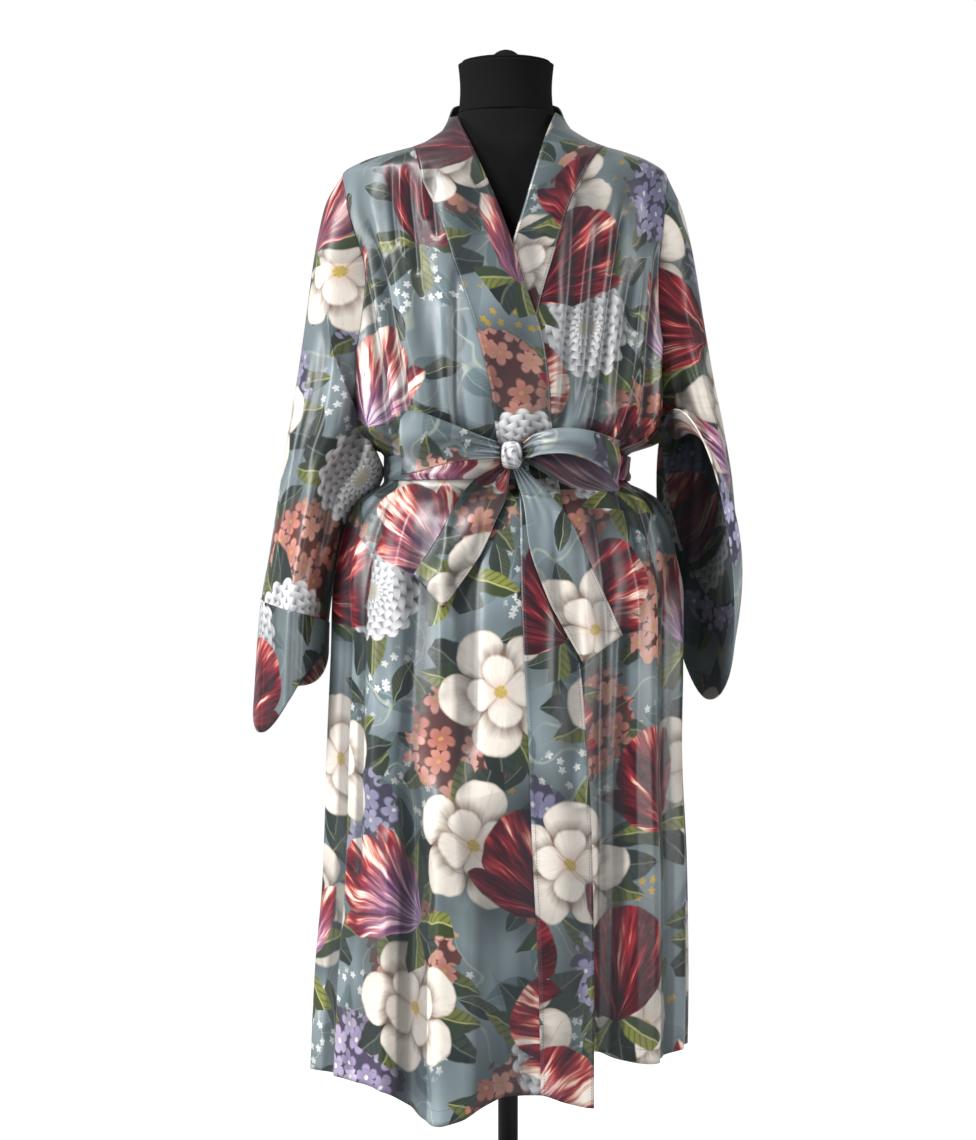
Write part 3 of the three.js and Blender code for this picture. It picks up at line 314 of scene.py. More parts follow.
# A grid mesh of quads. clothPlace is each point's place on the flat cloth in metres; a closed
# grid repeats its first column as its last, and the two are joined into one.
def gridPiece(name, points, clothPlace, materials, closed=False, turned=False, wall=clothWall):
    rows, cols = points.shape[:2]
    kept = cols - 1 if closed else cols
    left = np.arange(cols - 1)
    right = (left + 1) % kept if closed else left + 1
    base = np.arange(rows - 1)[:, None]
    corners = [base * kept + left, base * kept + right, (base + 1) * kept + right, (base + 1) * kept + left]
    places = [clothPlace[:-1, :-1], clothPlace[:-1, 1:], clothPlace[1:, 1:], clothPlace[1:, :-1]]
    if turned:
        corners, places = corners[::-1], places[::-1]
    faces = np.stack(corners, axis=-1).reshape(-1, 4)
    mesh = bpy.data.meshes.new(name)
    mesh.from_pydata((points[:, :kept].reshape(-1, 3) / 1000).tolist(), [], faces.tolist())
    mesh.uv_layers.new(name="cloth").data.foreach_set("uv", np.stack(places, axis=2).ravel())
    mesh.polygons.foreach_set("use_smooth", np.ones(len(faces), bool))
    # The fold height goes on the cloth as an attribute, from which the materials paint shade into the fold
    # valleys.
    if clothFaces[0] in materials:
        mesh.attributes.new("fold", "FLOAT", "POINT").data.foreach_set(
            "value", foldHeight(points, turned)[:, :kept].ravel())
    for material in materials:
        mesh.materials.append(material)
    piece = bpy.data.objects.new(name, mesh)
    bpy.context.scene.collection.objects.link(piece)
    if wall:
        shell = piece.modifiers.new("wall", "SOLIDIFY")
        shell.thickness = wall / 1000
        shell.offset = -1
        if len(materials) > 1:
            shell.material_offset = 1
    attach(piece, "root")
    return piece


# The flat cloth behind a grid: the length run along each row from the start column, and along each
# column from the start row.
def clothPlaces(points, startRow, startColumn, offset):
    along = runAlong(points, 0)
    across = runAlong(points, 1)
    u = across - across[:, [startColumn]]
    v = along - along[[startRow]]
    return np.stack([u / 1000 + offset[0], v / 1000 + offset[1]], axis=-1)


# Materials

def plainMaterial(name, colour, roughness, sheen=0.0, metallic=0.0):
    material = bpy.data.materials.new(name)
    material.use_nodes = True
    shader = material.node_tree.nodes["Principled BSDF"]
    shader.inputs["Base Color"].default_value = (*colour, 1)
    shader.inputs["Roughness"].default_value = roughness
    shader.inputs["Metallic"].default_value = metallic
    shader.inputs["Sheen Weight"].default_value = sheen
    return material


formJersey = plainMaterial("formJersey", (0.0035, 0.0035, 0.004), 0.9)
formJersey.node_tree.nodes["Principled BSDF"].inputs["Specular IOR Level"].default_value = 0.15
# The thread is dark: partly its own colour, partly painted shade of the groove the topstitching presses into
# the cloth.
threadAndGrooveShade = plainMaterial("threadAndGrooveShade", (0.05, 0.072, 0.085), 0.6)
standMetal = plainMaterial("standMetal", (0.008, 0.008, 0.009), 0.4, metallic=0.5)
floorPaint = plainMaterial("floorPaint", (0.96, 0.96, 0.96), 0.8)

# The print, in shader nodes. A Wire is a node's output, so that its sums read as formulas.

class Wire:
    def __init__(self, tree, socket):
        self.tree, self.socket = tree, socket

    def __add__(self, other):
        return number("ADD", self, other)

    def __sub__(self, other):
        return number("SUBTRACT", self, other)

    def __mul__(self, other):
        return number("MULTIPLY", self, other)

    def __rsub__(self, other):
        return number("SUBTRACT", other, self)

    __radd__, __rmul__ = __add__, __mul__


def treeOf(values):
    return next(value.tree for value in values if isinstance(value, Wire))


def feed(tree, socket, value):
    if isinstance(value, Wire):
        tree.links.new(value.socket, socket)
    else:
        socket.default_value = value


def number(kind, *values, limit=False):
    tree = treeOf(values)
    node = tree.nodes.new("ShaderNodeMath")
    node.operation = kind
    node.use_clamp = limit
    for socket, value in zip(node.inputs, values):
        feed(tree, socket, value)
    return Wire(tree, node.outputs[0])


def vector(kind, first, second):
    tree = treeOf((first, second))
    node = tree.nodes.new("ShaderNodeVectorMath")
    node.operation = kind
    feed(tree, node.inputs[0], first)
    feed(tree, node.inputs["Scale"] if kind == "SCALE" else node.inputs[1], second)
    return Wire(tree, node.outputs[0])


def joined(x, y, z=0.0):
    tree = treeOf((x, y, z))
    node = tree.nodes.new("ShaderNodeCombineXYZ")
    for socket, value in zip(node.inputs, (x, y, z)):
        feed(tree, socket, value)
    return Wire(tree, node.outputs[0])


def parted(value):
    node = value.tree.nodes.new("ShaderNodeSeparateXYZ")
    value.tree.links.new(value.socket, node.inputs[0])
    return [Wire(value.tree, socket) for socket in node.outputs]


def rotated(place, angle):
    node = place.tree.nodes.new("ShaderNodeVectorRotate")
    node.rotation_type = "Z_AXIS"
    feed(place.tree, node.inputs["Vector"], place)
    feed(place.tree, node.inputs["Angle"], angle)
    return Wire(place.tree, node.outputs[0])


def noise(place, scale, detail=1.0):
    node = place.tree.nodes.new("ShaderNodeTexNoise")
    feed(place.tree, node.inputs["Vector"], place)
    node.inputs["Scale"].default_value = scale
    node.inputs["Detail"].default_value = detail
    return Wire(place.tree, node.outputs[0]), Wire(place.tree, node.outputs[1])


def blend(share, under, over):
    tree = treeOf((share, under, over))
    node = tree.nodes.new("ShaderNodeMix")
    node.data_type = "RGBA"
    for socket, value in zip((node.inputs[0], node.inputs[6], node.inputs[7]), (share, under, over)):
        feed(tree, socket, (*value, 1) if isinstance(value, tuple) else value)
    return Wire(tree, node.outputs[2])


def ramp(share, stops):
    node = share.tree.nodes.new("ShaderNodeValToRGB")
    feed(share.tree, node.inputs[0], share)
    points = node.color_ramp.elements
    while len(points) < len(stops):
        points.new(0.5)
    for point, (place, colour) in zip(points, stops):
        point.position = place
        point.color = (*colour, 1)
    return Wire(share.tree, node.outputs[0])


# 1 where the distance is over 0, 0 where it is under, with a soft step as wide as width.
def inside(distance, width=0.012):
    return number("MULTIPLY_ADD", distance, 1 / width, 0.5, limit=True)


def both(first, second):
    return number("MULTIPLY", first, second)


def powered(value, power):
    return number("POWER", value, power)


def polar(x, y):
    return number("SQRT", x * x + y * y), number("ARCTAN2", y, x)


# |cos(n * turn / 2 + phase)|: 1 at the middle of each of n petals, 0 between them.
def petalWave(turn, count, phase=0.0):
    return number("ABSOLUTE", number("COSINE", number("MULTIPLY_ADD", turn, count / 2, phase)))


# A loose grid of motifs: each point's place in its motif's own frame, in cells, and three numbers
# that are the same all over the motif.
def scattered(place, cell, grid, shift, spread, loose=0.25):
    tree = place.tree
    moved = rotated(vector("ADD", place, (*shift, 0)), grid)
    cells = tree.nodes.new("ShaderNodeTexVoronoi")
    cells.voronoi_dimensions = "2D"
    tree.links.new(moved.socket, cells.inputs["Vector"])
    cells.inputs["Scale"].default_value = 1 / cell
    cells.inputs["Randomness"].default_value = loose
    chance = parted(Wire(tree, cells.outputs["Color"]))
    local = vector("SCALE", vector("SUBTRACT", moved, Wire(tree, cells.outputs["Position"])), 1 / cell)
    x, y, _ = parted(rotated(local, (chance[0] - 0.5) * spread - grid))
    return x, y, chance


# Broad pale petals in two rings round a golden centre.
def wideBlossom(x, y):
    r, turn = polar(x, y)
    outerWave, innerWave = petalWave(turn, 5, 0.4), petalWave(turn, 4, 1.1)
    outerEdge = number("MULTIPLY_ADD", powered(outerWave, 0.5), 0.15, 0.23)
    innerEdge = number("MULTIPLY_ADD", powered(innerWave, 0.55), 0.085, 0.125)
    veins, _ = noise(joined(turn * 9, r * 7), 1.0, 2.0)
    seam = powered(1 - outerWave, 5.0) * 0.8
    shadow = number("MULTIPLY_ADD", r - innerEdge, -14, 1, limit=True) * 0.75
    rim = number("MULTIPLY_ADD", outerEdge - r, -60, 1, limit=True) * 0.35
    outerShade = number("ADD", seam + shadow, rim + (veins - 0.5) * 0.7, limit=True)
    outer = blend(outerShade, (0.70, 0.64, 0.57), (0.16, 0.11, 0.085))
    innerRim = number("MULTIPLY_ADD", innerEdge - r, -60, 1, limit=True) * 0.4
    innerShade = number("ADD", powered(1 - innerWave, 4.0) * 0.7, innerRim + (veins - 0.5) * 0.8, limit=True)
    inner = blend(innerShade, (0.74, 0.68, 0.61), (0.24, 0.165, 0.12))
    blush = number("MULTIPLY_ADD", r, -11, 1.15, limit=True) * 0.6
    inner = blend(blush, inner, (0.55, 0.33, 0.25))
    petals = blend(inside(innerEdge - r), outer, inner)
    heart = blend(inside(veins - 0.5, 0.2), (0.30, 0.20, 0.04), (0.62, 0.48, 0.14))
    return inside(outerEdge - r), blend(inside(0.036 - r), petals, heart)


# A cup of three streaked petals seen from the side, over its base.
def cupBlossom(x, y, chance):
    high = y + 0.34
    reach, turn = polar(high, x)
    lobes = petalWave(turn, 6.4)
    tip = number("MULTIPLY_ADD", powered(lobes, 0.6), 0.15, 0.54) - turn * turn * 0.05
    side = (1.22 - reach * 0.95) - number("ABSOLUTE", turn)
    streak, _ = noise(joined(turn * 7, reach * 2.6, chance * 9), 1.0, 2.5)
    fine, _ = noise(joined(turn * 26, reach * 4), 1.0, 1.0)
    level = (streak - 0.5) * 2.3 + (fine - 0.5) * 0.9 + reach * 0.35 + chance * 0.45
    colour = ramp(number("ADD", level, 0.05, limit=True), [
        (0.0, (0.025, 0.002, 0.006)), (0.30, (0.10, 0.006, 0.014)), (0.52, (0.27, 0.018, 0.028)),
        (0.66, (0.55, 0.16, 0.12)), (0.8, (0.76, 0.57, 0.46)), (1.0, (0.83, 0.76, 0.69))])
    violet = number("MULTIPLY_ADD", reach, -2.6, 1.25, limit=True) * inside(chance - 0.45, 0.2) * 0.75
    colour = blend(violet, colour, blend(inside(streak - 0.5, 0.25), (0.14, 0.06, 0.20), (0.50, 0.42, 0.60)))
    colour = blend(powered(1 - lobes, 7.0) * 0.9, colour, (0.05, 0.004, 0.012))
    return both(inside(tip - reach), inside(side, 0.03)), colour


# Many short petals in rings, every other ring half a petal round.
def fullBlossom(x, y):
    r, turn = polar(x, y)
    ring = number("FLOOR", r * 26)
    within = number("FRACT", r * 26)
    petal = number("FRACT", number("MULTIPLY_ADD", turn, 16 / (2 * np.pi), ring * 0.5))
    off = number("ABSOLUTE", petal - 0.5) * 2
    shade = number("ADD", powered(off, 2.5) * 0.75, (1 - within) * 0.42, limit=True)
    colour = blend(shade, (0.80, 0.80, 0.80), (0.16, 0.16, 0.19))
    colour = blend(inside(0.05 - r, 0.05), colour, (0.42, 0.40, 0.30))
    return inside(number("MULTIPLY_ADD", petalWave(turn, 16), 0.035, 0.27) - r), colour


# Small florets close together: petals, the dark between them and a pale eye.
def florets(place, cell, shift, petals):
    x, y, chance = scattered(place, cell, 0.5, shift, 6.3, 0.7)
    r, turn = polar(x, y)
    wave = petalWave(turn, petals)
    gap = inside(r - number("MULTIPLY_ADD", powered(wave, 0.6), 0.30, 0.24), 0.1)
    tone = number("ADD", chance[1] * 0.7, number("MULTIPLY", r, 0.55), limit=True)
    return gap, inside(0.09 - r, 0.05), tone


# Pointed leaves spread round a middle; width runs as 4t(1 - t) along each.
def leafRing(x, y, count, phase, length, width):
    r, turn = polar(x, y)
    sector = number("FRACT", number("MULTIPLY_ADD", turn, count / (2 * np.pi), phase)) - 0.5
    bend = sector * (2 * np.pi / count)
    return leafBlade(r * number("COSINE", bend), r * number("SINE", bend), length, width)


def leafBlade(along, across, length, width):
    t = number("MULTIPLY", along, 1 / length, limit=True)
    half = t * (1 - t) * (4 * width)
    off = number("ABSOLUTE", across)
    rib = inside(0.004 - off + (1 - t) * 0.004, 0.006)
    sideRibs = inside(number("SINE", (along - off * 0.8) * (62 / length)) - 0.55, 0.6) * 0.55
    lit = number("MULTIPLY_ADD", across, 3 / width, 0.45, limit=True)
    return both(inside(half - off), inside(along)), rib, sideRibs, lit


# Dark side, bright side and rib of each kind of leaf.
leafColours = {
    "faint": ((0.095, 0.140, 0.155), (0.13, 0.19, 0.20), (0.22, 0.28, 0.29)),
    "single": ((0.014, 0.021, 0.017), (0.060, 0.072, 0.045), (0.26, 0.28, 0.18)),
    "cluster": ((0.026, 0.040, 0.016), (0.13, 0.145, 0.035), (0.32, 0.34, 0.13)),
    "wideShade": ((0.008, 0.013, 0.011), (0.030, 0.042, 0.034), (0.11, 0.13, 0.10)),
    "wide": ((0.028, 0.042, 0.014), (0.17, 0.18, 0.035), (0.36, 0.37, 0.14)),
    "cupShade": ((0.008, 0.013, 0.011), (0.034, 0.046, 0.036), (0.12, 0.14, 0.11)),
    "cup": ((0.034, 0.050, 0.016), (0.20, 0.215, 0.04), (0.36, 0.37, 0.15)),
}


def leavesOver(cover, leaf, share, kind):
    mask, rib, sideRibs, lit = leaf
    dark, bright, ribColour = leafColours[kind]
    return blend(mask * share, cover, blend(rib, blend(sideRibs, blend(lit, dark, bright), dark), ribColour))


def clusterColour(gap, eye, tone, dark, bright, eyeColour, gapColour):
    return blend(gap, blend(eye, blend(tone, dark, bright), eyeColour), gapColour)


# The ground, then each layer of the print over the one before, from faint leaves to cup blossoms.
def gardenPrint():
    group = bpy.data.node_groups.new("gardenPrint", "ShaderNodeTree")
    group.interface.new_socket("Cloth place", in_out="INPUT", socket_type="NodeSocketVector")
    group.interface.new_socket("Colour", in_out="OUTPUT", socket_type="NodeSocketColor")
    flat = Wire(group, group.nodes.new("NodeGroupInput").outputs[0])
    _, sway = noise(flat, 26, 2.0)
    place = vector("ADD", flat, vector("SCALE", vector("SUBTRACT", sway, (0.5, 0.5, 0.5)), 0.011))

    cloud, _ = noise(flat, 7, 2.0)
    cover = blend(inside(cloud - 0.5, 0.5), (0.178, 0.228, 0.250), (0.245, 0.300, 0.322))

    x, y, chance = scattered(place, 0.135, 0.3, (0.9, 0.2), 6.3, 0.5)
    ghost = leafRing(x, y, 3, chance[1], 0.46, 0.10)
    cover = leavesOver(cover, ghost, inside(chance[2] - 0.3) * 0.8, "faint")

    lines, _ = noise(place, 11, 1.0)
    patches, _ = noise(vector("ADD", flat, (3.1, 1.7, 0)), 6, 1.0)
    stem = inside(0.007 - number("ABSOLUTE", lines - 0.5), 0.008) * inside(patches - 0.47, 0.06)
    cover = blend(stem * 0.7, cover, (0.42, 0.46, 0.38))

    x, y, chance = scattered(place, 0.0145, 0.2, (0.3, 0.8), 6.3, 0.9)
    r, turn = polar(x, y)
    tiny = inside(number("MULTIPLY_ADD", petalWave(turn, 5), 0.17, 0.15) - r, 0.08)
    whites = tiny * inside(patches - 0.58, 0.03) * inside(chance[1] - 0.25)
    golds = tiny * inside(0.36 - patches, 0.02) * inside(chance[1] - 0.55)
    cover = blend(whites, cover, (0.74, 0.76, 0.74))
    cover = blend(golds, cover, (0.58, 0.38, 0.04))

    x, y, chance = scattered(place, 0.074, -0.4, (0.45, 0.15), 6.3, 0.55)
    leaf = leafBlade(x + 0.36, y, 0.74, 0.15)
    cover = leavesOver(cover, leaf, inside(chance[2] - 0.22), "single")

    gap, eye, tone = florets(place, 0.0285, (0.5, 0.2), 5)
    x, y, chance = scattered(place, 0.184, 0.9, (0.31, 0.67), 6.3, 0.3)
    r, _ = polar(x, y)
    leaf = leafRing(x, y, 4, chance[1], 0.50, 0.085)
    shown = inside(chance[2] - 0.28)
    cover = leavesOver(cover, leaf, shown, "cluster")
    coral = clusterColour(gap, eye, tone, (0.42, 0.10, 0.07), (0.78, 0.42, 0.33), (0.55, 0.36, 0.10),
                          (0.10, 0.026, 0.022))
    lilac = clusterColour(gap, eye, tone, (0.15, 0.14, 0.30), (0.50, 0.48, 0.66), (0.70, 0.69, 0.66),
                          (0.04, 0.04, 0.085))
    ball = blend(inside(chance[1] - 0.62), coral, lilac)
    ball = blend(powered(r * 2.4, 3.0) * 0.45, ball, (0.10, 0.05, 0.06))
    lumps, _ = noise(place, 90, 0.0)
    cover = blend(inside(0.43 - r, 0.2) * shown * 0.5, cover, (0.022, 0.034, 0.034))
    cover = blend(inside((lumps - 0.5) * 0.16 + 0.335 - r) * shown, cover, ball)

    x, y, chance = scattered(place, 0.190, 0.42, (0.12, 0.44), 6.3)
    shown = inside(chance[2] - 0.2)
    shade = leafRing(x, y, 3, chance[1] + 0.17, 0.56, 0.11)
    cover = leavesOver(cover, shade, shown, "wideShade")
    leaf = leafRing(x, y, 3, chance[1], 0.52, 0.095)
    cover = leavesOver(cover, leaf, shown, "wide")
    wideMask, wide = wideBlossom(x, y)
    fullMask, full = fullBlossom(x, y)
    isFull = inside(chance[1] - 0.68)
    r, _ = polar(x, y)
    cover = blend(inside(0.50 - r, 0.2) * shown * 0.4, cover, (0.024, 0.036, 0.036))
    cover = blend(wideMask * shown * (1 - isFull), cover, wide)
    cover = blend(fullMask * shown * isFull, cover, full)

    x, y, chance = scattered(place, 0.186, -0.28, (0.71, 0.09), 2.4, 0.3)
    shown = inside(chance[2] - 0.22)
    shade = leafRing(x, y + 0.22, 3, 0.37, 0.52, 0.09)
    cover = leavesOver(cover, shade, shown, "cupShade")
    leaf = leafRing(x, y + 0.3, 4, 0.2, 0.46, 0.075)
    cover = leavesOver(cover, leaf, shown, "cup")
    cupMask, cup = cupBlossom(x, y, chance[1])
    r, _ = polar(x, y)
    cover = blend(inside(0.46 - r, 0.25) * shown * 0.4, cover, (0.026, 0.036, 0.034))
    cover = blend(cupMask * shown, cover, cup)

    group.links.new(cover.socket, group.nodes.new("NodeGroupOutput").inputs[0])
    print("print nodes", len(group.nodes))
    return group


clothPrint = gardenPrint()


weaveScale = (2600.0, 1500.0, 0)


# Satin cotton: the print, darkened by painted shade in the valleys of the folds, a fine weave in the bump,
# and a soft sheen. The reverse is duller.
def cottonMaterial(name, dull, roughness, sheen):
    material = plainMaterial(name, (0.2, 0.28, 0.33), roughness, sheen=sheen)
    tree = material.node_tree
    shader = tree.nodes["Principled BSDF"]
    shader.inputs["Sheen Roughness"].default_value = 0.4
    shader.inputs["Specular IOR Level"].default_value = 0.5 if not dull else 0.25
    place = tree.nodes.new("ShaderNodeUVMap")
    place.uv_map = "cloth"
    printed = tree.nodes.new("ShaderNodeGroup")
    printed.node_tree = clothPrint
    tree.links.new(place.outputs[0], printed.inputs[0])
    colour = Wire(tree, printed.outputs[0])
    if dull:
        colour = blend(dull, colour, (0.075, 0.095, 0.105))
    # Painted shade: the lower the fold attribute, the more the colour is darkened toward near black, most in
    # the valleys of the folds.
    fold = tree.nodes.new("ShaderNodeAttribute")
    fold.attribute_name = "fold"
    paintedFoldShade = inside(Wire(tree, fold.outputs["Fac"]) * -1 + 0.1, 0.9)
    colour = blend(paintedFoldShade * 0.85, colour, blend(0.7, colour, (0.012, 0.018, 0.024)))
    tree.links.new(colour.socket, shader.inputs["Base Color"])
    weave, _ = noise(vector("MULTIPLY", Wire(tree, place.outputs[0]), weaveScale), 1.0, 0.0)
    crumple, _ = noise(Wire(tree, place.outputs[0]), 34, 3.0)
    bump = tree.nodes.new("ShaderNodeBump")
    bump.inputs["Strength"].default_value = 0.35
    bump.inputs["Distance"].default_value = 0.0016
    tree.links.new((weave * 0.05 + crumple).socket, bump.inputs["Height"])
    tree.links.new(bump.outputs[0], shader.inputs["Normal"])
    return material


printedCotton = cottonMaterial("printedCotton", 0, 0.36, 0.18)
cottonReverse = cottonMaterial("cottonReverse", 0.55, 0.6, 0.1)

clothFaces = [printedCotton, cottonReverse]


# Works out the cut of a piece in metres, the middle one of its grid's row lengths and of its column
# lengths, and its flat area, and keeps none of them.
def declareSheet(points):
    wide, high = np.median(runAlong(points, 1)[:, -1]) / 1000, np.median(runAlong(points, 0)[-1]) / 1000
    across, along = np.diff(points[:-1], axis=1), np.diff(points[:, :-1], axis=0)
    area = np.linalg.norm(np.cross(across, along), axis=-1).sum() / 1e6
    wide = max(wide, area / high)


# Panels

frontWidth = {"columns": 110, "underBand": 6}


# The row nearest the belt's middle.
def beltRow(z):
    return int(np.argmin(np.abs(z - beltMiddle)))


def frontPanel(name, side, nodeName, offset):
    over = side < 0
    hem, hemCurve, seam = (hemOver, overHem, overSeam) if over else (hemUnder, underHem, underSeam)
    z = panelHeights(hem)
    outer = side * sideEdge(z, True)
    seamAngle = angleAtX(seam["seamX"](z) - side * frontWidth["underBand"] * smooth(z, 300, 320), z)
    share = np.linspace(0, 1, frontWidth["columns"])[None, :]
    angle = mix(outer, seamAngle, share)
    height = wavedHeight(z, angle, hem, hemCurve)
    x = bodyPoint(angle, height)[..., 0]
    points = bodyPoint(angle, height, 0 if over else lapSink(x, height))
    places = clothPlaces(points, beltRow(z), -1, offset)
    piece = gridPiece(name, points, places, clothFaces, turned=not over)
    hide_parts(nodeName)
    declareSheet(points)
    return points


overFront = frontPanel("overFront", -1, "front_over", (0.0, 0.0))
underFront = frontPanel("underFront", 1, "front_under", (0.53, 0.21))


def backPanel():
    z = panelHeights(hemBack)
    edge = sideEdge(z, False)
    angle = mix(edge, 2 * np.pi - edge, np.linspace(0, 1, 160)[None, :])
    height = wavedHeight(z, angle, hemBack, backHem)
    points = bodyPoint(angle, height)
    piece = gridPiece("back", points, clothPlaces(points, beltRow(z), 80, (1.4, 0.1)), clothFaces)
    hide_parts("back_panel")
    declareSheet(points)
    return points


back = backPanel()
print("panels made")

# Neck bands: they stand a little proud of the panels.

bandRaise = 1.1
bandWall = 1.6


def neckBand(name, side, nodeName, offset):
    over = side < 0
    hem, hemCurve, seam = (hemOver, overHem, overSeam) if over else (hemUnder, underHem, underSeam)
    z = panelHeights(hem)
    freeZ = np.maximum(seam["freeZ"](z), hem)
    turn = np.radians(np.linspace(90, 180, 60)[1:, None])
    seamAngle = np.concatenate([angleAtX(seam["seamX"](z), z), side * turn])
    seamZ = np.concatenate([z, np.full_like(turn, neckPoint)])
    freeTurn = np.radians(nape["turn"](np.degrees(turn)))
    freeAngle = np.concatenate([angleAtX(seam["freeX"](z), freeZ), side * freeTurn])
    freeHeight = np.concatenate([freeZ, nape["height"](np.degrees(turn))])
    share = np.linspace(0, 1, 18)[None, :]
    angle = mix(seamAngle, freeAngle, share)
    height = wavedHeight(mix(seamZ, freeHeight, share), angle, hem, hemCurve)
    x = bodyPoint(angle, height)[..., 0]
    front = (np.arange(len(angle)) < len(z))[:, None]
    sink = np.where(front & (not over), lapSink(x, height), 0)
    along = np.arange(len(angle))[:, None]
    pucker = 0.35 * np.sin(along * 0.42 + 2 * np.sin(along * 0.11)) * np.sin(np.pi * share)
    points = bodyPoint(angle, height, sink - bandRaise - pucker)
    places = clothPlaces(points, beltRow(z), 0, offset)
    piece = gridPiece(name, points, places, clothFaces, turned=not over, wall=bandWall)
    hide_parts(nodeName)
    declareSheet(points)
    return points


overBand = neckBand("overBand", -1, "neck_band_over", (2.31, 0.37))
underBand = neckBand("underBand", 1, "neck_band_under", (2.9, 0.05))
print("bands made")

# Sleeves, by rings from armhole to hem: along, outX, outZ, inX, inZ, depth, spread, turnUp, drop, lean.
# Their folds: place round the sleeve in degrees, start and end along it, width in degrees, depth.

leftSleeve = {
    "side": -1,
    "rings": np.array([
        [0, -190, 1355, -172, 1062, 62, 0, 0, 0, 0], [0.1, -209, 1323, -181, 1055, 63, 0, 0, 0, 0],
        [0.2, -222, 1265, -171, 1038, 64, 0, 0, 0, 0], [0.31, -231, 1200, -142, 1017, 66, 0, 0, 0, 0],
        [0.42, -241, 1130, -148, 997, 67, 0, 0, 0, 0], [0.53, -252, 1063, -177, 970, 68, 0, 0, 0, 0],
        [0.64, -264, 985, -188, 936, 69, 0, 0, 0, 0], [0.75, -275, 915, -200, 888, 70, 0, 0, 0, 0],
        [0.82, -283, 870, -206, 842, 71, 0, 2, 0, 0], [1, -292, 746, -207, 815, 72, 0, 17, 30, 0],
    ]),
    "folds": [(118, 0.12, 0.8, 16, -11), (62, 0.2, 1.2, 15, -5), (90, 0.3, 1.2, 13, 5),
              (-70, 0.15, 1.2, 18, -7), (-125, 0.1, 0.9, 16, -9)],
    "fine": [(104, 0.1, 0.7, 5, -3.5), (76, 0.16, 0.62, 5, 3.4), (132, 0.08, 0.6, 6, 3.6),
             (48, 0.3, 1.2, 6, -3.2), (30, 0.12, 0.8, 7, 2.8), (-40, 0.15, 1.2, 6, -2.8),
             (-95, 0.1, 1.2, 6, 3.0), (150, 0.14, 0.7, 6, -3.2), (-150, 0.1, 0.8, 6, 2.8),
             (112, 0.5, 1.2, 5, 2.6)],
}
rightSleeve = {
    "side": 1,
    "rings": np.array([
        [0, 182, 1355, 174, 1062, 62, 0, 0, 0, 0], [0.1, 201, 1312, 184, 1060, 63, 0, 0, 0, 9],
        [0.2, 212, 1262, 188, 1054, 63, 3, 0, 0, 18], [0.31, 220, 1202, 191, 1052, 62, 7, 0, 0, 28],
        [0.42, 229, 1131, 191, 1051, 60, 12, 0, 0, 37], [0.53, 239, 1060, 190, 1056, 60, 18, 0, 0, 45],
        [0.64, 245, 988, 189, 1062, 62, 24, 0, 0, 51], [0.75, 246, 910, 188, 1069, 66, 30, 0, 0, 57],
        [0.82, 247, 864, 187, 1073, 70, 34, 0, 0, 61], [1, 231, 753, 186, 1083, 76, 39, 0, 0, 70],
    ]),
    "folds": [(122, 0.06, 0.7, 15, -10), (70, 0.1, 0.9, 15, -5), (-60, 0.2, 1.2, 16, -6),
              (-115, 0.1, 0.9, 18, -9)],
    "fine": [(100, 0.08, 0.6, 5, -3.2), (84, 0.12, 0.7, 5, 3.4), (56, 0.14, 0.9, 6, -3.0),
             (36, 0.2, 1.2, 7, 2.8), (138, 0.1, 0.6, 6, 2.8), (-40, 0.15, 1.2, 6, 2.6),
             (-90, 0.1, 1.2, 6, -3.0), (-145, 0.1, 0.8, 6, 2.8)],
}
cuffSeam = 0.82
cuffLap = 0.006
backSpread = 0.72
backDrop = 0.5
sleeveFoldGain = 1.25

# A sleeve's two parts, the arm and its band: start and end along it, rows, raise and wall.
sleeveParts = [(0, cuffSeam + cuffLap, 120, 0, clothWall), (cuffSeam, 1, 36, 1.0, bandWall)]


# x runs from the ring's middle with cos(turn) and the front is carried outward with sin(turn);
# the first ring lies on the armhole, blended out over the first 0.16 of the length.
def sleevePoint(sleeve, turn, along):
    side = sleeve["side"]
    names = ["outX", "outZ", "inX", "inZ", "depth", "spread", "turnUp", "drop", "lean"]
    ring = columnsOf(sleeve["rings"], names)

    def plain(turn, along):
        outX, outZ, inX, inZ = (ring[name](along) for name in names[:4])
        lengthwise, frontward = np.cos(turn), np.sin(turn)
        puff = np.zeros(np.broadcast(turn, along).shape)
        for place, start, end, width, depth in sleeve["folds"] + sleeve["fine"]:
            away = np.mod(np.degrees(turn) - place + 180, 360) - 180
            fade = smooth(along, start, start + 0.15) * (1 - smooth(along, end - 0.15, end))
            puff += sleeveFoldGain * depth * crease(away, width) * fade
        depth = ring["depth"](along) + puff
        carried = side * ring["spread"](along) * frontward * np.where(frontward > 0, 1, backSpread)
        under = (1 - lengthwise) / 2
        x = (outX + inX) / 2 + (outX - inX) / 2 * lengthwise + carried
        y = -depth * frontward - ring["lean"](along) * np.where(frontward >= 0, under, under ** 2)
        z = (outZ + inZ) / 2 + (outZ - inZ) / 2 * lengthwise - ring["turnUp"](along) * np.sin(2 * turn)
        z = z - ring["drop"](along) * np.abs(frontward) * np.where(frontward > 0, 1, backDrop)
        return np.stack([x, y, z], axis=-1)

    z = armholeMiddle + armholeHalfHeight * np.cos(turn)
    front = np.sin(turn) >= 0
    deep = np.where(front, section["front"](z), section["back"](z))
    fromSide = angleFromSide(armholeHalfDepth * np.abs(np.sin(turn)), deep, z)
    armhole = bodyPoint(side * (np.pi / 2 + np.where(front, -fromSide, fromSide)), z)
    held = (1 - smooth(along, 0, 0.16))[..., None]
    return plain(turn, along) + held * (armhole - plain(turn, np.zeros_like(along)))


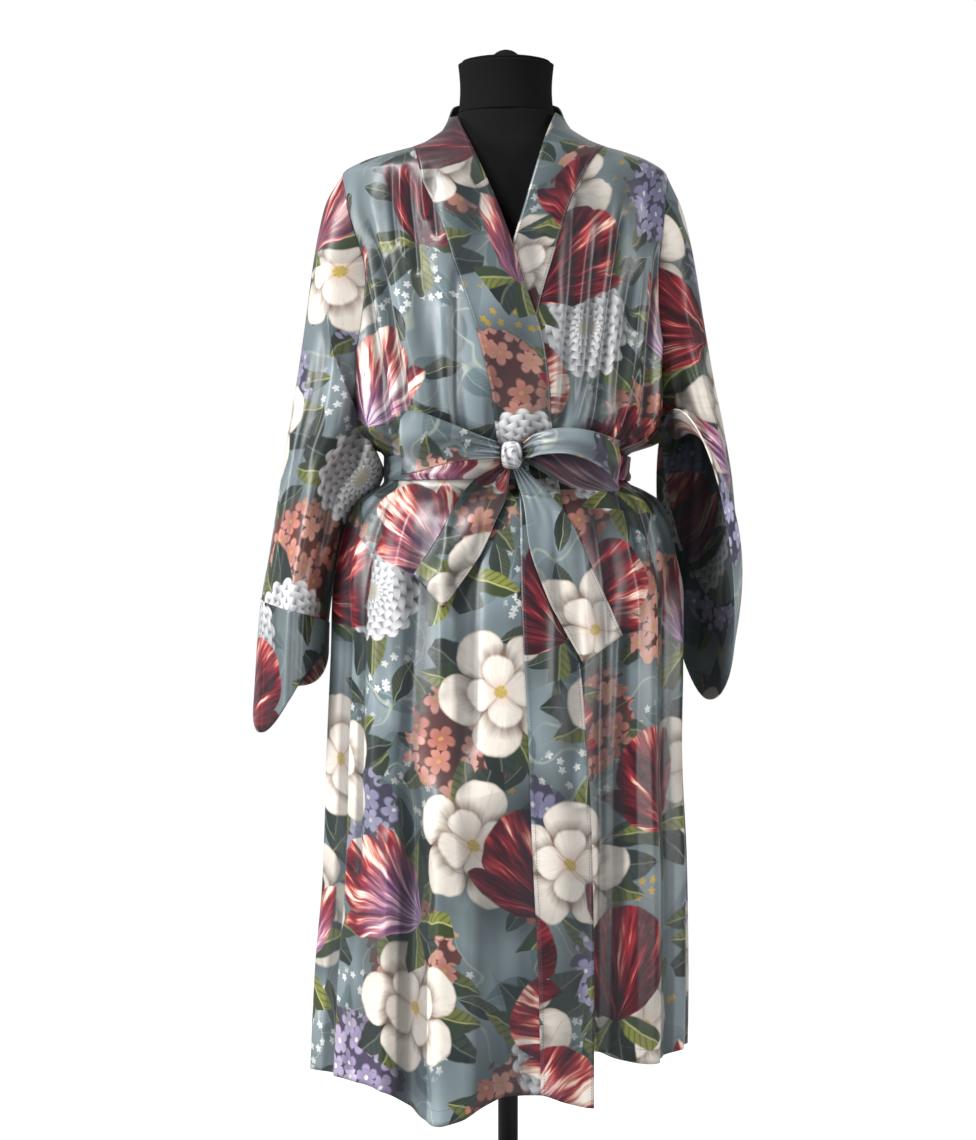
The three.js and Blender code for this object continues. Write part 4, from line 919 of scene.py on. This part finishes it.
# A sleeve's cloth unrolled round the arm: v runs down the arm, u is the distance run square to it,
# counted from the fold over the arm.
def unrolledPlaces(points, side, offset):
    axis = points[-1].mean(axis=0) - points[0].mean(axis=0)
    axis = axis * [1, 0, 1] / np.hypot(axis[0], axis[2])
    step = np.diff(points, axis=1)
    square = np.sqrt(np.maximum((step ** 2).sum(axis=-1) - (step @ axis) ** 2, 0))
    around = np.concatenate([np.zeros((len(points), 1)), np.cumsum(square, axis=1)], axis=1)
    middle = points.shape[1] // 2
    across = np.array([-axis[2], 0, axis[0]]) * -side
    u = around - around[:, [middle]] + points[:, [middle]] @ across
    return np.stack([u / 1000 + offset[0], -(points @ axis) / 1000 + offset[1]], axis=-1)


def sleevePieces(sleeve, names, nodes, offset):
    turn = np.linspace(-np.pi, np.pi, 121)[None, :]
    turned = sleeve["side"] < 0
    for name, node, (start, end, rows, raised, wall) in zip(names, nodes, sleeveParts):
        along = np.linspace(start, end, rows)[:, None]
        points = sleevePoint(sleeve, turn, along)
        outward = gridNormals(points, turned)
        outward[:, 0] = outward[:, -1] = (outward[:, 0] + outward[:, -1]) / 2
        points = points + outward * raised
        places = unrolledPlaces(points, sleeve["side"], (offset[0] + start, offset[1]))
        piece = gridPiece(name, points, places, clothFaces, closed=True, turned=turned, wall=wall)
        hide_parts(node)
        declareSheet(points)


sleevePieces(leftSleeve, ("leftSleeve", "leftCuff"), ("sleeve_left", "cuff_left"), (3.7, 0.4))
sleevePieces(rightSleeve, ("rightSleeve", "rightCuff"), ("sleeve_right", "cuff_right"), (4.6, 1.2))
print("sleeves made")

# Belt and bow

beltSize = {"seat": 0.8, "wall": 2.0, "clear": 0.6, "bottom": 1003, "top": 1032}
bowWall = 1.2


def beltPiece():
    angle = np.linspace(0, 2 * np.pi, 361)[None, :]
    share = np.linspace(0, 1, 26)[:, None]
    gather = 1.25 * (1 - np.cos(angle))
    height = mix(beltSize["bottom"] + gather, beltSize["top"] - gather * 0.4, share)
    pleats = 0.7 * np.sin(share * 9 + 1.3 * np.sin(angle * 2))
    pleats = pleats + 0.35 * np.sin(share * 16 + 2.1 * np.sin(angle * 3 + 1))
    drop = -beltSize["seat"] - beltSize["wall"] - beltSize["clear"] - pleats
    points = bodyPoint(angle, np.full_like(height, beltMiddle), drop)
    points[..., 2] = height
    places = clothPlaces(points, 0, 0, (5.5, 0.2))
    piece = gridPiece("beltRing", points, places, clothFaces, closed=True, wall=beltSize["wall"])
    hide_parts("belt")
    declareSheet(points)


beltPiece()

# Bow loops by stations from the knot and back: x, y, z, half width, tip in degrees.
leftLoopRows = np.array([
    [-10.5, -121, 1034, 9, 0], [-38, -134, 1038, 15, 8], [-72, -142, 1042, 25, 12],
    [-104, -142, 1043, 35, 10], [-120, -134, 1042, 36, 0], [-104, -126, 1043, 33, -6],
    [-70, -127, 1041, 20, -5], [-38, -124, 1037, 12, -2], [-10.5, -115.5, 1033, 8, 0],
])
rightLoopRows = np.array([
    [16.5, -121, 1034, 9, 0], [34, -136, 1041, 17, 40], [66, -147, 1043, 25, 52], [100, -144, 1034, 28, 45],
    [122, -134, 1018, 29, 20], [106, -125, 1018, 29, 0], [72, -125, 1019, 26, -4], [38, -123, 1026, 16, -3],
    [16.5, -115.5, 1032, 8, 0],
])


# A centripetal Catmull-Rom curve: the spans are the square roots of the chords, and the tangent at
# a knot is (b - a) / s - (c - a) / (s + t) + (c - b) / t times its span.
def curvedLine(knots, place):
    ends = np.concatenate([[2 * knots[0] - knots[1]], knots, [2 * knots[-1] - knots[-2]]])
    spans = np.sqrt(np.linalg.norm(np.diff(ends, axis=0), axis=1))[:, None]
    i = np.clip(np.floor(place).astype(int), 0, len(knots) - 2)
    t = (place - i)[:, None]
    a, b, c, d = ends[i], ends[i + 1], ends[i + 2], ends[i + 3]
    s, m, e = spans[i], spans[i + 1], spans[i + 2]
    leave = ((b - a) / s - (c - a) / (s + m) + (c - b) / m) * m
    arrive = ((c - b) / m - (d - b) / (m + e) + (d - c) / e) * m
    rise = t * t * (3 - 2 * t)
    return b * (1 - rise) + c * rise + leave * t * (1 - t) ** 2 + arrive * t * t * (t - 1)


def bowLoop(name, node, rows, outward, offset):
    last = len(rows) - 1
    place = np.linspace(0, last, 140)
    knots = np.arange(last + 1.0)
    centre = curvedLine(rows[:, :3], place)[:, None, :]
    half = curveThrough(knots, rows[:, 3])(place)[:, None]
    lean = np.radians(curveThrough(knots, rows[:, 4])(place))[:, None]
    share = np.linspace(0, 1, 34)[None, :]
    reach = (2 * share - 1) * half
    leaning = np.stack([np.zeros_like(lean), np.sin(lean), np.cos(lean)], axis=-1)
    points = centre + reach[..., None] * leaning
    fromKnot = np.minimum(place, last - place)[:, None]
    gathers = 1.5 * np.sin(share * 21 + 0.4 * fromKnot) * np.exp(-fromKnot / 1.1)
    gathers = gathers + 1.6 * np.sin(share * 7 + place[:, None] * 0.9) * smooth(fromKnot, 0.3, 2)
    points = points + gridNormals(points, turned=outward < 0) * gathers[..., None]
    places = clothPlaces(points, 0, 0, offset)
    piece = gridPiece(name, points, places, clothFaces, turned=outward < 0, wall=bowWall)
    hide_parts(node)
    declareSheet(points)


bowLoop("leftLoop", "bow_loop_left", leftLoopRows, 1, (6.3, 0.2))
bowLoop("rightLoop", "bow_loop_right", rightLoopRows, -1, (6.8, 0.6))

knotMiddle = -117.9

# Tails by stations from the knot: x and z of one edge, x and z of the other.
leftTailRows = np.array([[-9, 1016.4, 1, 1012.6], [-38, 1002, -1, 988], [-60, 973, -14, 957],
                         [-79, 938, -30, 922], [-106, 897, -72, 860]])
rightTailRows = np.array([[5, 1012.6, 14, 1016.4], [16, 976, 42, 990], [22, 930, 67, 958],
                          [42, 873, 95, 898], [81, 800, 126, 830]])


def bowTail(name, node, rows, offset):
    place = np.linspace(0, 4, 110)[:, None]
    share = np.linspace(0, 1, 36)[None, :]
    edgeX, edgeZ, otherX, otherZ = (curveThrough(np.arange(5.0), rows[:, i])(place) for i in range(4))
    x, z = mix(edgeX, otherX, share), mix(edgeZ, otherZ, share)
    onSkirt = bodyPoint(angleAtX(x, z), z, -5.4)[..., 1]
    ridge = 3 * np.sin(np.pi * share) * smooth(place, 0, 1.5)
    creases = 1.2 * np.sin(share * 24 + 0.5 * place) * np.exp(-place / 0.8)
    creases = creases + 1.3 * np.sin(share * 8 + place * 1.3) * smooth(place, 0.4, 2)
    y = np.minimum(onSkirt, knotMiddle + 2 * place) - ridge - bowWall - creases
    points = np.stack([x, y, z], axis=-1)
    places = clothPlaces(points, 0, 0, offset)
    piece = gridPiece(name, points, places, clothFaces, turned=True, wall=bowWall)
    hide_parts(node)
    declareSheet(points)
    return points


leftTail = bowTail("leftTail", "bow_tail_left", leftTailRows, (7.2, 0.1))
rightTail = bowTail("rightTail", "bow_tail_right", rightTailRows, (5.41, 1.07))


# The knot: a rounded box with nearly upright folds round it.
def bowKnot():
    tilt = np.linspace(-0.49, 0.49, 40)[:, None] * np.pi
    turn = np.linspace(0, 2 * np.pi, 73)[None, :]
    reach = np.cos(tilt) ** 0.5
    wraps = 1.5 * np.sin(8 * np.cos(turn) + 2.2 * np.sin(tilt) + 0.6) * reach
    x = 3 + (11.8 + 0.3 * wraps) * reach * signedPower(np.cos(turn), 0.7)
    y = knotMiddle + (12.4 + wraps) * reach * signedPower(np.sin(turn), 0.7)
    z = 1029 + 15.5 * np.sin(tilt) + 0 * turn
    points = np.stack([x, y, z], axis=-1)
    places = clothPlaces(points, 0, 0, (5.26, 0.93))
    piece = gridPiece("knot", points, places, [printedCotton], closed=True, wall=0)
    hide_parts("bow_knot")


bowKnot()
print("belt and bow made")

# Dress form and stand: height, half width left and right, depth front and back.
formSections = np.array([
    [800, 148, 146, 106, 108], [812, 153, 151, 111, 113], [870, 155, 153, 114, 118],
    [930, 138, 136, 102, 106], [1010, 117, 115, 84, 80], [1080, 132, 130, 94, 85],
    [1150, 147, 145, 105, 92], [1210, 154, 152, 108, 95], [1270, 160, 158, 98, 95],
    [1320, 168, 163, 84, 88], [1350, 168, 161, 74, 80], [1362, 160, 154, 70, 76],
    [1374.5, 138, 137, 67, 73], [1383.5, 106.6, 109.4, 65, 70], [1394, 84, 84, 61, 66],
    [1406, 69, 66, 58, 62], [1424.7, 58, 54, 54, 57],
])
neckCentre = -2.3


# Rings of one height each: x = wide * sin, y = -deep * cos, each raised to 2 / square.
def ringPoints(z, left, right, front, back, square, centre):
    turn = np.linspace(0, 2 * np.pi, 97)[None, :]
    wide = np.where(np.sin(turn) < 0, left, right)
    deep = np.where(np.cos(turn) > 0, front, back)
    x = centre + wide * signedPower(np.sin(turn), 2 / square)
    y = -deep * signedPower(np.cos(turn), 2 / square)
    return np.stack([x, y, z + 0 * x], axis=-1)


# A ring drawn in to its own middle, which closes an end.
def drawnIn(ring):
    return ring * [0, 0, 1] + ring.mean(axis=1, keepdims=True) * [1, 1, 0]


def turnedPiece(name, node, points, material):
    points = np.concatenate([drawnIn(points[:1]), points, drawnIn(points[-1:])])
    piece = gridPiece(name, points, clothPlaces(points, 0, 0, (0, 0)), [material], closed=True, wall=0)
    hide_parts(node)


formCurves = columnsOf(formSections, ["left", "right", "front", "back"])
formZ = np.concatenate([np.linspace(800, 1350, 60), np.linspace(1350, 1424.7, 40)[1:]])[:, None]
formHalves = [formCurves[name](formZ) for name in ("left", "right", "front", "back")]
turnedPiece("formBody", "form_body", ringPoints(formZ, *formHalves, 2.1, 0), formJersey)
neckZ = np.linspace(1425, 1482, 24)[:, None]
neckHalf = 55 - 2.2 * np.sin(np.pi * (neckZ - 1425) / 57)
turnedPiece("formNeck", "form_neck", ringPoints(neckZ, *[neckHalf] * 4, 2, neckCentre), formJersey)


# A turned profile of radius and height.
def turnedProfile(name, node, profile, centre, material):
    radius, height = np.array(profile, float).T[:, :, None]
    turnedPiece(name, node, ringPoints(height, *[radius] * 4, 2, centre), material)


capProfile = [(50, 1482.3), (51.2, 1483), (51.5, 1484.3), (50.6, 1485.6), (46, 1486.8), (33, 1489.2),
              (20, 1491.3), (16, 1492.6), (14, 1494.6), (11.5, 1496.6), (8, 1498.6), (4, 1499.8),
              (1, 1500.2)]
footProfile = [(184, 0), (188, 1.2), (190, 6), (189, 10), (186, 12), (114, 19), (38, 25), (28, 27),
               (21, 32), (19, 34)]
turnedProfile("formCap", "form_cap", capProfile, neckCentre, formJersey)
turnedProfile("pole", "stand_pole", [(11.5, 34.3), (11.5, 799.7)], 0, standMetal)
turnedProfile("foot", "stand_base", footProfile, 0, standMetal)
print("form and stand made")

# Stitches

stitch = {"length": 2.3, "pitch": 3.3, "width": 0.9, "rise": 0.3, "lift": 0.05}


# Points or normals along a line, at the given runs from its start.
def valuesAt(values, run, at):
    return np.stack([np.interp(at, run, values[:, i]) for i in range(3)], axis=1)


# A row of stitches along each line of points on a cloth: low four-sided ridges, evenly spaced.
def stitchRows(name, lines):
    corners = []
    for points, normals in lines:
        run = np.concatenate([[0], np.cumsum(np.linalg.norm(np.diff(points, axis=0), axis=1))])
        count = int(run[-1] / stitch["pitch"])
        middle = (np.arange(count) + 0.5) * run[-1] / count
        start, end = (valuesAt(points, run, middle + sign * stitch["length"] / 2) for sign in (-1, 1))
        out = valuesAt(normals, run, middle)
        out /= np.linalg.norm(out, axis=1, keepdims=True)
        side = np.cross(end - start, out)
        side *= stitch["width"] / 2 / np.linalg.norm(side, axis=1, keepdims=True)
        centre = valuesAt(points, run, middle) + stitch["lift"] * out
        top = centre + stitch["rise"] * out
        corners.append(np.stack([start, centre + side, end, centre - side, top], axis=1))
    points = np.concatenate(corners)
    base = np.arange(len(points))[:, None, None] * 5
    faces = (base + np.array([[0, 1, 4], [1, 2, 4], [2, 3, 4], [3, 0, 4]])).reshape(-1, 3)
    mesh = bpy.data.meshes.new(name)
    mesh.from_pydata((points.reshape(-1, 3) / 1000).tolist(), [], faces.tolist())
    # The dark thread stands partly for painted shade along the stitched groove.
    mesh.materials.append(threadAndGrooveShade)
    piece = bpy.data.objects.new(name, mesh)
    bpy.context.scene.collection.objects.link(piece)
    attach(piece, "root")


# Lines of a grid as points and outward normals; away is the direction that counts as outward.
def gridLines(points, rows=(), columns=(), away=None):
    normals = gridNormals(points)
    outward = points * (1, 1, 0) if away is None else np.broadcast_to(away, points.shape)
    normals = normals * np.where((normals * outward).sum(axis=-1, keepdims=True) < 0, -1, 1)
    return [(points[i], normals[i]) for i in rows] + [(points[:, j], normals[:, j]) for j in columns]


for name, points in (("overBand", overBand), ("underBand", underBand)):
    stitchRows(name + "Stitches", gridLines(points, columns=(1, 16)))
for name, points in (("overFront", overFront), ("underFront", underFront), ("back", back)):
    stitchRows(name + "Stitches", gridLines(points, rows=(3,)))
towardCamera = (0, -1, 0)
for name, points in (("leftTail", leftTail), ("rightTail", rightTail)):
    stitchRows(name + "Stitches", gridLines(points, columns=(2, 33), away=towardCamera))
print("stitches made")

# Stage

floorReach = 9000.0
floorCorners = floorReach * np.array([[[-1, -1, 0], [1, -1, 0]], [[-1, 1, 0], [1, 1, 0]]])
floor = gridPiece("floor", floorCorners, np.zeros((2, 2, 2)), [floorPaint], wall=0)
# The floor shows near white, and throws back less of the light than it shows.
paintTree = floorPaint.node_tree
seenFloor = Wire(paintTree, paintTree.nodes.new("ShaderNodeLightPath").outputs["Is Camera Ray"])
floorColour = blend(seenFloor, (0.30, 0.30, 0.30), (0.97, 0.97, 0.97))
paintTree.links.new(floorColour.socket, paintTree.nodes["Principled BSDF"].inputs["Base Color"])

scene = bpy.context.scene
worldLight = 0.28
world = bpy.data.worlds.new("studio")
world.use_nodes = True
background = world.node_tree.nodes["Background"]
background.inputs["Color"].default_value = (1, 1, 1, 1)
rays = world.node_tree.nodes.new("ShaderNodeLightPath")
seen = Wire(world.node_tree, rays.outputs["Is Camera Ray"])
world.node_tree.links.new((seen * (1 - worldLight) + worldLight).socket, background.inputs["Strength"])
scene.world = world
scene.view_settings.view_transform = "Standard"


def softLight(name, place, target, size, power):
    light = bpy.data.lights.new(name, "AREA")
    light.shape = "RECTANGLE"
    light.size, light.size_y = size
    light.energy = power
    lamp = bpy.data.objects.new(name, light)
    lamp.location = place
    lamp.rotation_euler = (Vector(target) - Vector(place)).to_track_quat("-Z", "Y").to_euler()
    scene.collection.objects.link(lamp)


softLight("keyLight", (-2.8, -1.3, 1.7), (0, 0, 0.9), (0.7, 1.3), 66)
softLight("fillLight", (2.6, -1.8, 1.5), (0, 0, 0.9), (1.0, 1.8), 58)
sun = bpy.data.lights.new("broadLight", "SUN")
sun.energy = 3.8
sun.angle = 0.35
sunLamp = bpy.data.objects.new("broadLight", sun)
sunLamp.rotation_euler = Vector((0.8, 0.5, -0.95)).to_track_quat("-Z", "Y").to_euler()
scene.collection.objects.link(sunLamp)

# The focal length is worked out in the photo's pixels.
photoFocal, photoWidth, sensorWidth = 2782.6, 976, 36
cameraData = bpy.data.cameras.new("camera")
cameraData.sensor_fit = "HORIZONTAL"
cameraData.sensor_width = sensorWidth
cameraData.lens = photoFocal / photoWidth * sensorWidth
camera = bpy.data.objects.new("camera", cameraData)
camera.location = (-0.023, -3.2, 0.902)
camera.rotation_euler = (np.pi / 2, 0, 0)
scene.collection.objects.link(camera)
scene.camera = camera

print("scene ready")
